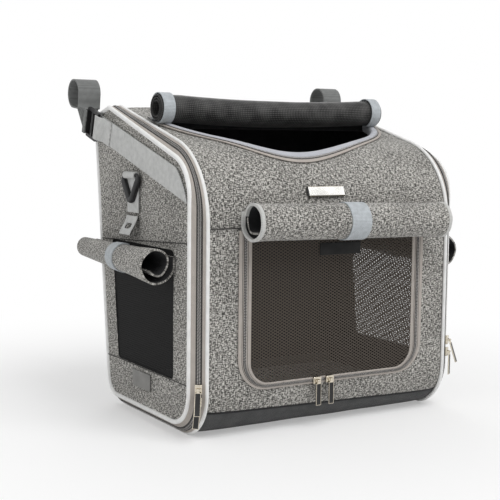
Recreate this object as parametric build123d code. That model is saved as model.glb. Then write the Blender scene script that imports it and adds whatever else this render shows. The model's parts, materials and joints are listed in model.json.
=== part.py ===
from build123d import *
import os
from math import acos, cos, degrees, pi, radians, sin, tan

os.makedirs("parts", exist_ok=True)

# A soft carrier for a small dog that hangs from a bicycle's handlebar.
# Millimetres. +X is the viewer's right, -Y is the front, +Z is up.
# While it is drawn, the front panel's outer face is at y = 0; placing() centres it.

# Driving sizes of the shell
body_width = 340.0
gusset_run = 16.0
gusset_inset = 11.0
brow_height = 312.0
slope_angle = 17.8
peak_y = 228.0
ledge_drop_angle = 16.0
rear_foot_y = 245.0
rear_lean_angle = 6.5
front_foot_radius = 55.0
shoulder_radius = 97.0
peak_radius = 17.0
rear_top_radius = 25.0
rear_foot_radius = 40.0
panel_wall = 4.0
gusset_wall = 3.0
piping_radius = 2.2
piping_proud = 1.0
seam_clear = 0.1
overrun = 60.0

# Heights of the seams on the front, above the floor
tray_height = 31.0
front_seam_height = 239.0
base_trim_height = 2.4
base_trim_proud = 0.6

# Zips and webbing
tape_wall = 1.4
coil_proud = 1.2
coil_half_width = 3.2
web_wall = 1.8
strap_width = 30.0
rest_gap = 0.3

seam_x = body_width / 2
side_x = seam_x + gusset_run
peak_z = brow_height + peak_y * tan(radians(slope_angle))
slope_dir = (cos(radians(slope_angle)), sin(radians(slope_angle)))
slope_out = (-slope_dir[1], slope_dir[0])


def crossing(point_a, angle_a, point_b, angle_b):
    """Where two lines of the YZ section meet, each given by a point and an angle."""
    ax, ay = cos(radians(angle_a)), sin(radians(angle_a))
    bx, by = cos(radians(angle_b)), sin(radians(angle_b))
    dx, dy = point_b[0] - point_a[0], point_b[1] - point_a[1]
    run = (dx * by - dy * bx) / (ax * by - ay * bx)
    return (point_a[0] + run * ax, point_a[1] + run * ay)


def rear_line(inset):
    """A point of the leaning rear line, moved inwards."""
    lean = radians(rear_lean_angle)
    return (rear_foot_y - inset * cos(lean), inset * sin(lean))


def outline_wire(inset):
    """The side view of the bag, moved inwards by an inset, with its five rounded corners."""
    slope = radians(slope_angle)
    drop = radians(ledge_drop_angle)
    on_slope = (inset * sin(slope), brow_height - inset * cos(slope))
    on_ledge = (peak_y - inset * sin(drop), peak_z - inset * cos(drop))
    upright = 90
    rear_angle = upright - rear_lean_angle
    rear = rear_line(inset)
    corners = [
        crossing((0, inset), 0, rear, rear_angle),
        (inset, inset),
        crossing((inset, 0), upright, on_slope, slope_angle),
        crossing(on_slope, slope_angle, on_ledge, -ledge_drop_angle),
        crossing(on_ledge, -ledge_drop_angle, rear, rear_angle),
    ]
    radii = [rear_foot_radius, front_foot_radius, shoulder_radius, peak_radius, rear_top_radius]
    return FilletPolyline(*corners, radius=[radius - inset for radius in radii], close=True)


def outline(inset):
    return make_face(outline_wire(inset))


def slab(face, x_from, x_to):
    """A face drawn in side view (Y, Z), pushed from one X to another."""
    return extrude(Plane.YZ.offset(x_from) * face, amount=x_to - x_from, dir=(1, 0, 0))


def front_slab(face, y_from, y_to):
    """A face drawn in front view (X, Z), pushed from one Y to another."""
    return extrude(Pos(0, y_from, 0) * (Plane.XZ * face), amount=y_to - y_from, dir=(0, 1, 0))


def block(x_from, x_to, y_from, y_to, z_from, z_to):
    middle = Pos((x_from + x_to) / 2, (y_from + y_to) / 2, (z_from + z_to) / 2)
    return middle * Box(x_to - x_from, y_to - y_from, z_to - z_from)


def mirrored(shape):
    return mirror(shape, about=Plane.YZ)


def rear_cut(x_from, x_to, z_from):
    """The space behind the peak of the top and above a height."""
    return block(x_from, x_to, peak_y, rear_foot_y + overrun * 2, z_from, peak_z + overrun)


metre = 1000.0
pieces = {}

# Shell: one wrap of stiffened cloth over base, front and top, closed by a rear panel.
wrap_x = seam_x - piping_radius - seam_clear
wrap = slab(outline(0), -wrap_x, wrap_x) - slab(outline(panel_wall), -seam_x, seam_x)

low = -overrun
back = rear_foot_y + overrun * 2
high = peak_z + overrun
tray_part = block(-seam_x, seam_x, low, back, low, tray_height)
front_part = block(-seam_x, seam_x, low, shoulder_radius, tray_height, front_seam_height)
top_part = block(-seam_x, seam_x, low, peak_y, front_seam_height, high)
pieces["base_tray"] = wrap & tray_part

# Base trim: a thin dark binding over the seam between the front panel and the base tray.
trim_face = outline(-base_trim_proud) - outline(0)
trim_zone = block(-wrap_x, wrap_x, low, shoulder_radius, tray_height - base_trim_height / 2,
                  tray_height + base_trim_height / 2)
pieces["base_trim"] = slab(trim_face, -wrap_x, wrap_x) & trim_zone

# Front door: its zip runs down one side, along the bottom and up the other side.
door_side_margin = 38.5
door_half_width = seam_x - door_side_margin
door_bottom = 54.0
door_corner_radius = 37.0
door_zip_side = 16.5
door_zip_bottom = 7.5
door_hinge_drop = 10.5
door_hinge_height = front_seam_height - door_hinge_drop
door_top_gap = 0.8
panel_hole_share = 0.3
fixed_coil_shares = (0.38, 0.485)
door_coil_shares = (0.515, 0.62)


def door_face(share, top):
    """The door's outline: share 0 is the zip's outer edge and share 1 the edge of the mesh."""
    half = door_half_width - door_zip_side * share
    bottom = door_bottom + door_zip_bottom * share
    radius = door_corner_radius - (door_zip_side + door_zip_bottom) / 2 * share
    corners = [(-half, top), (-half, bottom), (half, bottom), (half, top)]
    return make_face(FilletPolyline(*corners, radius=[0, radius, radius, 0], close=True))


door_top = door_hinge_height - door_top_gap / 2
hole_top = door_hinge_height + door_top_gap / 2
tape_top = front_seam_height - base_trim_height
front_panel = (wrap & front_part) - front_slab(door_face(panel_hole_share, hole_top), -overrun, overrun)
pieces["front_panel"] = front_panel


def door_ring(outer_share, inner_share, top, y_from, y_to):
    ring = door_face(outer_share, top) - door_face(inner_share, top + overrun)
    return front_slab(ring, y_from, y_to)


coil_front = -tape_wall - coil_proud
fixed_tape = door_ring(0, fixed_coil_shares[1], tape_top, -tape_wall, 0)
fixed_coil = door_ring(*fixed_coil_shares, tape_top, coil_front, -tape_wall)
pieces["door_zip_outer"] = fixed_tape + fixed_coil
door_tape = door_ring(door_coil_shares[0], 1, door_top, -tape_wall, 0)
door_coil = door_ring(*door_coil_shares, door_top, coil_front, -tape_wall)
pieces["door_zip_inner"] = door_tape + door_coil

# Mesh: one holed sheet, so its strands are one solid.
mesh_wall = 1.0
mesh_strand = 1.8
door_mesh_columns = 18
door_mesh_rows = 15
door_mesh_margin = 5.0


def net_holes(x_from, x_to, z_from, z_to, columns, rows, room):
    """Square gaps of a net between four limits, only where the room face holds them whole."""
    step_x = (x_to - x_from) / columns
    step_z = (z_to - z_from) / rows
    gap = Rectangle(step_x - mesh_strand, step_z - mesh_strand)
    holes = []
    for column in range(columns):
        for row in range(rows):
            hole = Pos(x_from + step_x * (column + 0.5), z_from + step_z * (row + 0.5)) * gap
            if all(room.is_inside(corner.center()) for corner in hole.vertices()):
                holes.append(hole)
    return holes


mesh_half = door_half_width - door_zip_side
mesh_bottom = door_bottom + door_zip_bottom
mesh_room = offset(door_face(1, door_top), -mesh_strand)
mesh_gaps = net_holes(door_mesh_margin - mesh_half, mesh_half - door_mesh_margin,
                      mesh_bottom + door_mesh_margin, door_top - door_mesh_margin,
                      door_mesh_columns, door_mesh_rows, mesh_room)
door_net = door_face(1, door_top) - mesh_gaps
mesh_front = -tape_wall + seam_clear
pieces["door_mesh"] = front_slab(door_net, mesh_front, mesh_front + mesh_wall)
print("door mesh gaps", len(mesh_gaps))

# Hook-and-loop patch on the door's mesh, just under the rolled flap.
door_patch_width = 58.0
door_patch_height = 14.0
door_patch_x = 6.0
door_patch_drop = 24.0
door_patch_bottom = door_hinge_height - door_patch_drop
door_patch_wall = 1.2
patch_face = Pos(door_patch_x, door_patch_bottom + door_patch_height / 2) * Rectangle(
    door_patch_width, door_patch_height)
pieces["door_patch"] = front_slab(patch_face, mesh_front - door_patch_wall, mesh_front)

# Head opening in the sloping top: a half ellipse in front and a nearly straight rear edge.
mouth_side_margin = 7.0
mouth_half_width = seam_x - mouth_side_margin
mouth_front_y = 31.0
mouth_side_y = 138.0
mouth_rear_y = 153.0
mouth_corner_radius = 13.0
mouth_least_radius = 2.0
mouth_tape_width = 11.0
mouth_tape_lap = 5.0
collar_depth = 12.0
collar_width = 10.0


def mouth_face(inset):
    """The head opening in plan, moved inwards."""
    half = mouth_half_width - inset
    depth = mouth_side_y - mouth_front_y - inset
    rear = mouth_rear_y - inset
    bow = Pos(0, mouth_side_y) * Ellipse(half, depth) + Pos(0, mouth_side_y + depth / 2) * Rectangle(half * 2, depth)
    corners = [(-half, 0), (-half, rear), (half, rear), (half, 0)]
    radius = max(mouth_corner_radius - inset, mouth_least_radius)
    room = make_face(FilletPolyline(*corners, radius=[0, radius, radius, 0], close=True))
    return bow & room


def mouth_prism(inset):
    return extrude(mouth_face(inset), amount=high, dir=(0, 0, 1))


pieces["top_cover"] = (wrap & top_part) - mouth_prism(mouth_tape_lap)
tape_shell = slab(outline(-tape_wall), -seam_x, seam_x) - slab(outline(0), -side_x, side_x)
mouth_room = block(-seam_x, seam_x, low, peak_y, front_seam_height, high)
mouth_tape = (tape_shell & mouth_room & mouth_prism(0)) - mouth_prism(mouth_tape_width)
pieces["top_zip_tape"] = mouth_tape

# Padded collar under the edge of the head opening.
collar_outer = mouth_tape_lap + rest_gap
collar_shell = slab(outline(rest_gap), -seam_x, seam_x) - slab(outline(collar_depth), -side_x, side_x)
collar = (collar_shell & mouth_room & mouth_prism(collar_outer)) - mouth_prism(collar_outer + collar_width)
pieces["top_collar"] = collar

# Rear panel with the two plain gussets beside it.
rear_zone = rear_cut(-side_x, side_x, low)
rear_wall = wrap & rear_cut(-seam_x, seam_x, tray_height)


def gusset_band(run_from, run_to, proud, deep):
    """A sloping band round the side view, between two distances outside the corner seam."""
    def stage(run, out):
        inset = gusset_inset * run / gusset_run + out
        return Plane.YZ.offset(seam_x + run) * outline(inset)
    outer = loft([stage(run_from, -proud), stage(run_to, -proud)], ruled=True)
    inner = loft([stage(run_from, deep), stage(run_to, deep)], ruled=True)
    return outer - inner


side_piping_inset = gusset_inset + piping_radius - piping_proud
side_piping_x = side_x - piping_radius + piping_proud
gusset_from = piping_radius + seam_clear
gusset_to = side_piping_x - seam_x - piping_radius - seam_clear
gusset = gusset_band(gusset_from, gusset_to, 0, gusset_wall)
coil_middle = gusset_run / 2
coil = gusset_band(coil_middle - coil_half_width, coil_middle + coil_half_width, coil_proud, 0)
rear_gusset = gusset & rear_zone
pieces["rear_panel"] = Compound([rear_wall.solid(), rear_gusset.solid(), mirrored(rear_gusset).solid()])
side_zip = (gusset - rear_zone) + (coil - rear_zone)
pieces["side_zip_right"] = side_zip
pieces["side_zip_left"] = mirrored(side_zip)


def piping(x, inset):
    """White cord sewn along the side view's outline, cut flat where it meets the ground."""
    path = Plane.YZ.offset(x) * outline_wire(inset)
    start = Plane(origin=path @ 0, z_dir=path % 0)
    cord = sweep(start * Circle(piping_radius), path=path)
    ground = block(-side_x - overrun, side_x + overrun, low, back, low, 0)
    return cord - ground


corner_piping = piping(seam_x, piping_radius - piping_proud)
side_piping = piping(side_piping_x, side_piping_inset)
pieces["corner_piping_right"] = corner_piping
pieces["corner_piping_left"] = mirrored(corner_piping)
pieces["side_piping_right"] = side_piping
pieces["side_piping_left"] = mirrored(side_piping)

# Side panels with a mesh window each.
window_front_y = 53.0
window_bottom = 64.0
window_roll_lap = 15.0
window_rear_margin = 50.0
window_corner_radius = 6.0
side_flap_centre_z = 197.0
window_top = side_flap_centre_z + window_roll_lap
window_columns = 16
window_rows = 15
window_margin = 4.0
side_panel_inset = side_piping_inset + piping_radius + seam_clear


def window_face(inset):
    lean = tan(radians(rear_lean_angle))
    rear_bottom = rear_foot_y + window_bottom * lean - window_rear_margin
    rear_top = rear_foot_y + window_top * lean - window_rear_margin
    corners = [
        (window_front_y + inset, window_bottom + inset),
        (rear_bottom - inset, window_bottom + inset),
        (rear_top - inset, window_top - inset),
        (window_front_y + inset, window_top - inset),
    ]
    radius = window_corner_radius - inset
    return make_face(FilletPolyline(*corners, radius=radius, close=True))


window_cut = slab(window_face(0), seam_x, side_x + overrun)
side_panel = slab(outline(side_panel_inset), side_x - panel_wall, side_x) - window_cut
pieces["side_panel_right"] = side_panel
pieces["side_panel_left"] = mirrored(side_panel)

window_rear_y = rear_foot_y + window_top * tan(radians(rear_lean_angle)) - window_rear_margin
window_room = window_face(seam_clear + mesh_strand)
window_gaps = net_holes(window_front_y + window_margin, window_rear_y - window_margin,
                        window_bottom + window_margin, window_top - window_margin,
                        window_columns, window_rows, window_room)
window_net = window_face(seam_clear) - window_gaps
window_x = side_x - panel_wall / 2
window_mesh = slab(window_net, window_x - mesh_wall / 2, window_x + mesh_wall / 2)
pieces["window_mesh_right"] = window_mesh
pieces["window_mesh_left"] = mirrored(window_mesh)
print("window mesh gaps", len(window_gaps))

# Base board and the crowned floor mat that lies on it.
board_wall = 4.0
board_side_margin = 10.0
board_half_width = seam_x - board_side_margin
board_front_y = front_foot_radius
board_rear_y = rear_foot_y - rear_foot_radius
board_bottom = panel_wall + seam_clear
pieces["base_board"] = block(-board_half_width, board_half_width, board_front_y, board_rear_y,
                             board_bottom, board_bottom + board_wall)
mat_bottom = board_bottom + board_wall + rest_gap
mat_side_margin = 9.0
mat_half_width = seam_x - mat_side_margin
mat_front_y = 36.0
mat_rear_y = 226.0
mat_corner_radius = 30.0
mat_height = 18.5
mat_under_roll = 8.0
mat_crown_roll = 30.0
mat_level_angles = (-80.0, -40.0, 0.0, 20.0, 40.0, 60.0, 78.0)


def mat_section(angle):
    """One level of the padded mat: its edge rolls in below and far more above."""
    height = mat_height / 2 * (1 + sin(radians(angle)))
    roll = mat_under_roll if angle < 0 else mat_crown_roll
    inset = roll * (1 - cos(radians(angle)))
    depth = mat_rear_y - mat_front_y
    middle = (mat_front_y + mat_rear_y) / 2
    section = RectangleRounded((mat_half_width - inset) * 2, depth - inset * 2, mat_corner_radius - inset / 2)
    return Pos(0, middle, mat_bottom + height) * section


pieces["floor_mat"] = loft([mat_section(angle) for angle in mat_level_angles])


# Rolled cloth: quarter arcs about moving centres, each one step tighter than the last.
def roll_face(radius, cloth, gap, quarters, start_angle, turn, tail):
    """Section of a rolled sheet about (0, 0), with its straight sewn edge at the start."""
    step = (cloth + gap) / 4
    quarter = radians(90) * turn
    angle = radians(start_angle)
    centre = Vector(0, 0)
    outer_edges, inner_edges = [], []

    def spot(middle, reach, at):
        return middle + Vector(cos(at), sin(at)) * reach

    heading = Vector(-sin(angle), cos(angle)) * turn
    outer_start = spot(centre, radius, angle)
    inner_start = spot(centre, radius - cloth, angle)
    outer_edges.append(Line(outer_start - heading * tail, outer_start))
    inner_edges.append(Line(inner_start - heading * tail, inner_start))
    for index in range(quarters):
        reach = radius - step * index
        for edges, size in ((outer_edges, reach), (inner_edges, reach - cloth)):
            edges.append(ThreePointArc(spot(centre, size, angle), spot(centre, size, angle + quarter / 2),
                                       spot(centre, size, angle + quarter)))
        angle += quarter
        centre = centre + Vector(cos(angle), sin(angle)) * step
    caps = [Line(outer_edges[0] @ 0, inner_edges[0] @ 0), Line(outer_edges[-1] @ 1, inner_edges[-1] @ 1)]
    print("least gap in the roll", round(gap, 2))
    return make_face(Wire(outer_edges + inner_edges + caps))


# Front flap: rolled up and held by a band over the door.
flap_side_margin = 33.0
flap_half_length = seam_x - flap_side_margin
flap_radius = 23.2
flap_cloth = 2.8
flap_gap = 1.4
flap_quarters = 9
flap_centre_lift = 8.0
flap_centre_z = front_seam_height + flap_centre_lift
flap_tail = 9.0
flap_binding_width = 9.0
flap_centre_y = -rest_gap - flap_radius
flap_section = Pos(flap_centre_y, flap_centre_z) * roll_face(
    flap_radius, flap_cloth, flap_gap, flap_quarters, 0, -1, flap_tail)
flap_core_x = flap_half_length - flap_binding_width
flap_binding = slab(flap_section, flap_core_x, flap_half_length)
pieces["front_flap_roll"] = slab(flap_section, -flap_core_x, flap_core_x)
pieces["front_flap_binding"] = Compound([flap_binding.solid(), mirrored(flap_binding).solid()])

flap_tie_width = 34.0
flap_tie_x = 8.0
tie_wall = 1.3
tie_inner = flap_radius + rest_gap
flap_tie_ring = Pos(flap_centre_y, flap_centre_z) * (Circle(tie_inner + tie_wall) - Circle(tie_inner))
flap_tie = slab(flap_tie_ring, flap_tie_x - flap_tie_width / 2, flap_tie_x + flap_tie_width / 2)
flap_tail_room = block(-seam_x, seam_x, -flap_cloth - rest_gap * 2, overrun,
                       flap_centre_z, flap_centre_z + flap_tail + rest_gap)
pieces["front_flap_tie"] = (flap_tie & block(-seam_x, seam_x, low, 0, 0, high)) - flap_tail_room

# Mesh cover of the head opening, rolled back onto the opening's rear edge.
cover_side_margin = 14.0
cover_half_length = seam_x - cover_side_margin
cover_radius = 15.5
cover_cloth = 1.6
cover_gap = 1.0
cover_quarters = 11
cover_tail = 9.0
cover_rest_y = 146.0
cover_tie_width = 15.0
cover_tie_end = 4.0
cover_lift = cover_radius + tape_wall + rest_gap
cover_rest_z = brow_height + cover_rest_y * tan(radians(slope_angle))
cover_centre = (cover_rest_y + slope_out[0] * cover_lift, cover_rest_z + slope_out[1] * cover_lift)
cover_section = Pos(*cover_centre) * roll_face(
    cover_radius, cover_cloth, cover_gap, cover_quarters, slope_angle - 90, -1, cover_tail)
pieces["top_mesh_roll"] = slab(cover_section, -cover_half_length, cover_half_length)
cover_tie_inner = cover_radius + seam_clear
cover_tie_ring = Pos(*cover_centre) * (Circle(cover_tie_inner + tie_wall) - Circle(cover_tie_inner))
tail_room = Pos(*cover_centre) * Rot(Z=slope_angle) * Pos(cover_radius, -cover_radius) * Rectangle(
    cover_radius * 2, cover_radius * 2)
cover_tie_to = cover_half_length - cover_tie_end
cover_ground = outline(-tape_wall - seam_clear)
cover_tie = slab(cover_tie_ring - tail_room - cover_ground, cover_tie_to - cover_tie_width, cover_tie_to)
pieces["top_roll_ties"] = Compound([cover_tie.solid(), mirrored(cover_tie).solid()])

# Side flaps: cone-shaped rolls under the upper side seams, drawn for the right side.
side_flap_front_y = 50.0
side_flap_rear_y = 258.0
side_flap_front_radius = 23.0
side_flap_rear_radius = 17.5
side_flap_quarters = 8
side_flap_tail = 8.0
side_flap_gap = 1.2
side_flap_cloth = 2.6


def side_roll_section(y, radius):
    """Roll's section, drawn with the panel's face at zero and the way out along local X."""
    plane = Plane(origin=(side_x, y, side_flap_centre_z), x_dir=(1, 0, 0), z_dir=(0, -1, 0))
    face = Pos(rest_gap + radius, 0) * roll_face(
        radius, side_flap_cloth, side_flap_gap, side_flap_quarters, 180, 1, side_flap_tail)
    return plane * face


side_flap = loft([side_roll_section(side_flap_front_y, side_flap_front_radius),
                  side_roll_section(side_flap_rear_y, side_flap_rear_radius)], ruled=True)
pieces["side_flap_right"] = side_flap
pieces["side_flap_left"] = mirrored(side_flap)

side_tie_y = 171.0
side_tie_width = 22.0


def side_tie_circle(y, growth):
    """A circle round the side roll at one place along it."""
    share = (y - side_flap_front_y) / (side_flap_rear_y - side_flap_front_y)
    radius = side_flap_front_radius + (side_flap_rear_radius - side_flap_front_radius) * share
    plane = Plane(origin=(side_x + rest_gap + radius, y, side_flap_centre_z), x_dir=(1, 0, 0), z_dir=(0, -1, 0))
    return plane * Circle(radius + growth)


def side_tie_cone(growth, extra):
    half = side_tie_width / 2 + extra
    return loft([side_tie_circle(side_tie_y - half, growth), side_tie_circle(side_tie_y + half, growth)])


side_tie = side_tie_cone(rest_gap + tie_wall, 0) - side_tie_cone(rest_gap, tie_wall)
side_tie = side_tie & block(side_x, side_x + overrun * 2, 0, back, 0, high)
side_tie -= block(side_x, side_x + side_flap_cloth + rest_gap * 2, 0, back,
                  side_flap_centre_z, side_flap_centre_z + side_flap_tail + rest_gap)
pieces["side_flap_ties"] = Compound([side_tie.solid(), mirrored(side_tie).solid()])

# Hook-and-loop patches under the side windows.
side_patch_y = 132.0
side_patch_z = 48.5
side_patch_length = 47.0
side_patch_height = 20.0
side_patch_wall = 1.6
side_patch = slab(Pos(side_patch_y, side_patch_z) * Rectangle(side_patch_length, side_patch_height),
                  side_x, side_x + side_patch_wall)
pieces["side_patches"] = Compound([side_patch.solid(), mirrored(side_patch).solid()])

# Slotted webbing tabs just above the side rolls.
tab_y = 155.0
tab_width = 30.0
tab_lift = 25.5
tab_height = 21.5
tab_bottom = side_flap_centre_z + tab_lift
tab_top = tab_bottom + tab_height
tab_slot_width = 18.0
tab_slot_height = 3.6
tab_slot_drop = 7.0
tab_corner_radius = 3.0
tab_plate = Pos(tab_y, (tab_bottom + tab_top) / 2) * RectangleRounded(
    tab_width, tab_top - tab_bottom, tab_corner_radius)
tab_slot = Pos(tab_y, tab_top - tab_slot_drop) * SlotOverall(tab_slot_width, tab_slot_height)
side_tab = slab(tab_plate - tab_slot, side_x, side_x + web_wall)
pieces["side_tabs"] = Compound([side_tab.solid(), mirrored(side_tab).solid()])


def ribbon(points, radius, wall):
    """Section of a strap: a path with rounded corners, thickened to both sides."""
    path = FilletPolyline(*points, radius=radius)
    left = offset(path, amount=wall / 2, side=Side.LEFT, closed=False)
    right = offset(path, amount=wall / 2, side=Side.RIGHT, closed=False)
    ends = []
    for share in (0, 1):
        spot = path @ share
        across = (path % share).rotate(Axis.Z, 90) * (wall / 2)
        ends.append(Line(spot + across, spot - across))
    return make_face(Wire(left.edges() + right.edges() + ends))


# D-rings: a bar in the fold of a webbing tab, and two legs that meet in a point.
ring_y = 154.5
ring_tab_gap = 4.5
ring_tab_bottom = tab_top + ring_tab_gap
ring_tab_height = 44.5
ring_bar_z = ring_tab_bottom + ring_tab_height
ring_wire_radius = 2.25
ring_half_width = 19.0
ring_drop = 34.0
ring_shoulder_drop = 6.5
ring_bend_radius = 6.0
ring_corner_radius = 3.0
ring_clear = 0.3
ring_x = side_x + web_wall + ring_clear + ring_wire_radius
ring_path = FilletPolyline(
    (ring_half_width, 0), (ring_half_width, -ring_shoulder_drop), (0, -ring_drop),
    (-ring_half_width, -ring_shoulder_drop), (-ring_half_width, 0),
    radius=[ring_corner_radius, ring_bend_radius, ring_bend_radius, ring_bend_radius, ring_corner_radius],
    close=True)
ring_plane = Plane(origin=(ring_x, ring_y, ring_bar_z), x_dir=(0, 1, 0), z_dir=(1, 0, 0))
ring_wire = ring_plane * ring_path
ring_start = Plane(origin=ring_wire @ 0, z_dir=ring_wire % 0)
d_ring = sweep(ring_start * Circle(ring_wire_radius), path=ring_wire)
pieces["d_ring_right"] = d_ring
pieces["d_ring_left"] = mirrored(d_ring)

# The tab's section has X outwards from the panel and Y upwards, and a loop round the bar.
loop_radius = ring_wire_radius + ring_clear
loop_centre = (web_wall + loop_radius, ring_bar_z)
loop_outer = Pos(*loop_centre) * Circle(loop_radius + web_wall)
loop_inner = Pos(*loop_centre) * Circle(loop_radius)
tab_run = Pos(web_wall / 2, (ring_tab_bottom + ring_bar_z) / 2) * Rectangle(web_wall, ring_bar_z - ring_tab_bottom)
ring_tab_face = (loop_outer + tab_run) - loop_inner
ring_tab_plane = Plane(origin=(side_x, ring_y - strap_width / 2, 0), x_dir=(1, 0, 0), z_dir=(0, -1, 0))
ring_tab = extrude(ring_tab_plane * ring_tab_face, amount=strap_width, dir=(0, 1, 0))
pieces["d_ring_tabs"] = Compound([ring_tab.solid(), mirrored(ring_tab).solid()])

# Side straps run to the ladder locks. (u, n): along the strap, and out from the panel.
strap_angle = 16.3
strap_mid_y = 131.0
strap_mid_z = 315.3
strap_front_reach = 125.0
lock_front_reach = 121.0
lock_length = 32.0
lock_width = 38.0
lock_bar = 4.0
lock_wall = 4.0
lock_stand_off = 4.2
lock_lip_wall = 3.0
fold_length = 18.0
fold_radius = 2.0
lock_corner_radius = 3.0
strap_plane_points = {
    "origin": (side_x, strap_mid_y, strap_mid_z),
    "along": (0, cos(radians(strap_angle)), sin(radians(strap_angle))),
    "across": (0, -sin(radians(strap_angle)), cos(radians(strap_angle))),
}


def strap_place(face, width):
    """Push a (u, n) section to both sides of the strap's centre line."""
    across = Vector(strap_plane_points["across"])
    origin = Vector(strap_plane_points["origin"]) - across * (width / 2)
    plane = Plane(origin=origin, x_dir=strap_plane_points["along"], z_dir=across * -1)
    placed = plane * face
    return extrude(placed, amount=width, dir=across)


lock_from = lock_front_reach
lock_to = lock_front_reach + lock_length
slot_length = (lock_length - lock_bar * 3) / 2
rise_u = lock_from + lock_bar + web_wall
base_n = web_wall / 2 + seam_clear
over_n = lock_stand_off + lock_wall + seam_clear + web_wall / 2
fold_n = base_n + web_wall + seam_clear
fold_down_u = lock_from - lock_bar
strap_section = ribbon([
    (-strap_front_reach, base_n), (rise_u, base_n), (rise_u, over_n),
    (fold_down_u, over_n), (fold_down_u - over_n, fold_n), (fold_down_u - over_n - fold_length, fold_n)],
    fold_radius, web_wall)
strap_end_room = block(seam_x, side_x + overrun, low, shoulder_radius, 0, high) - slab(
    outline(side_panel_inset), seam_x - overrun, side_x + overrun * 2)
side_strap = strap_place(strap_section, strap_width) - strap_end_room
pieces["side_strap_right"] = side_strap
pieces["side_strap_left"] = mirrored(side_strap)

# Ladder lock: three bars across the strap, with a raised lip over the last one.
lock_plane = Plane(
    origin=Vector(strap_plane_points["origin"]) + Vector(strap_plane_points["along"]) * (lock_from + lock_length / 2)
    + Vector(lock_stand_off, 0, 0),
    x_dir=strap_plane_points["along"], z_dir=(1, 0, 0))
lock_face = RectangleRounded(lock_length, lock_width, lock_corner_radius)
slot_face = Rectangle(slot_length, lock_width - lock_bar * 2)
slot_shift = (slot_length + lock_bar) / 2
lock_face = lock_face - Pos(slot_shift, 0) * slot_face - Pos(-slot_shift, 0) * slot_face
lip_face = Pos((lock_length - lock_bar) / 2, 0) * Rectangle(lock_bar, lock_width - lock_bar * 2)
lip = extrude(lip_face, amount=lock_wall + lock_lip_wall)
lock_local = extrude(lock_face, amount=lock_wall) + lip
buckle = lock_plane * lock_local
pieces["buckle_right"] = buckle
pieces["buckle_left"] = mirrored(buckle)

# Handlebar straps: a webbing loop round the bar, and a run that turns down into the buckle.
grip_radius = 16.5
grip_y = 296.0
grip_z = 393.0
grip_strap_x = side_x + 4.0
apex_reach = 23.0
apex_angle = 232.0
apex_dir = Vector(cos(radians(apex_angle)), sin(radians(apex_angle)))


def teardrop(radius, reach):
    """A circle drawn out to a point, as a strap pulled tight round a bar lies."""
    half = degrees(acos(radius / reach))
    tangent_a = apex_dir.rotate(Axis.Z, half) * radius
    tangent_b = apex_dir.rotate(Axis.Z, -half) * radius
    far = apex_dir * -radius
    arc = ThreePointArc(tangent_a, far, tangent_b)
    return make_face(Wire([arc, Line(tangent_b, apex_dir * reach), Line(apex_dir * reach, tangent_a)]))


loop_reach_growth = web_wall * apex_reach / grip_radius
loop_face = teardrop(grip_radius + web_wall, apex_reach + loop_reach_growth) - teardrop(grip_radius, apex_reach)
loop_solid = slab(Pos(grip_y, grip_z) * loop_face, grip_strap_x - strap_width / 2, grip_strap_x + strap_width / 2)

# Two layers round the lock's rear bar, then a short twisted run up to the loop's point.
rear_bar_from = lock_to - lock_bar
turn_u = lock_to + seam_clear + web_wall / 2 + lock_lip_wall / 2
under_n = lock_stand_off - seam_clear - web_wall / 2
upper_n = lock_stand_off + lock_wall + lock_lip_wall + seam_clear + web_wall / 2
grip_tail_u = lock_from + lock_length / 2
turn_section = ribbon([(rear_bar_from - web_wall, upper_n), (turn_u, upper_n), (turn_u, under_n),
                       (grip_tail_u, under_n)], fold_radius, web_wall)
turn_solid = strap_place(turn_section, strap_width)

twist_top = Vector(grip_strap_x, grip_y, grip_z) + Vector(0, apex_dir.X, apex_dir.Y) * apex_reach
along = Vector(strap_plane_points["along"])
across = Vector(strap_plane_points["across"])
out = Vector(1, 0, 0)
twist_foot = Vector(strap_plane_points["origin"]) + along * turn_u + out * ((under_n + upper_n) / 2)
top_plane = Plane(origin=twist_top, x_dir=(1, 0, 0), z_dir=Vector(0, apex_dir.X, apex_dir.Y) * -1)
foot_plane = Plane(origin=twist_foot, x_dir=across * -1, z_dir=along)
twist = loft([foot_plane * Rectangle(strap_width, web_wall * 2),
              top_plane * Rectangle(strap_width, web_wall * 2)], ruled=True)
handlebar_strap = loop_solid + twist - slab(Pos(grip_y, grip_z) * teardrop(grip_radius, apex_reach), seam_x, overrun * 4)
handlebar_strap += turn_solid
pieces["handlebar_strap_right"] = handlebar_strap
pieces["handlebar_strap_left"] = mirrored(pieces["handlebar_strap_right"])

# Bare plate on the shoulder, above the rolled flap.
plate_x = -11.0
plate_width = 53.0
plate_height = 8.5
plate_wall = 1.2
plate_angle = 20.0
plate_corner_radius = 1.5
shoulder_y = shoulder_radius
shoulder_z = crossing((0, 0), 90, (0, brow_height), slope_angle)[1] - shoulder_radius * tan(
    radians((90 - slope_angle) / 2))
plate_out = Vector(0, -cos(radians(plate_angle)), sin(radians(plate_angle)))
plate_origin = Vector(plate_x, shoulder_y, shoulder_z) + plate_out * (shoulder_radius + seam_clear)
plate_plane = Plane(origin=plate_origin, x_dir=(1, 0, 0), z_dir=plate_out)
pieces["name_plate"] = plate_plane * extrude(
    RectangleRounded(plate_width, plate_height, plate_corner_radius), amount=plate_wall)

# Zip sliders and their pulls. Local X is the pull's pin, local -Y hangs down, local Z is outwards.
slider_length = 11.0
slider_width = 8.4
slider_wall = 2.6
slider_edge = 0.8
ear_wall = 1.2
ear_depth = 2.6
ear_height = 3.2
pin_radius = 0.7
pin_height = 2.0
pin_half = 3.3
knuckle_radius = 1.6
knuckle_clear = 0.1
knuckle_half = 1.9
pull_width = 6.4
pull_length = 24.0
pull_wall = 1.8
pull_neck = 3.0
pull_corner_radius = 1.2
pull_face_margin = 1.0
pull_face_depth = 0.3


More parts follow.
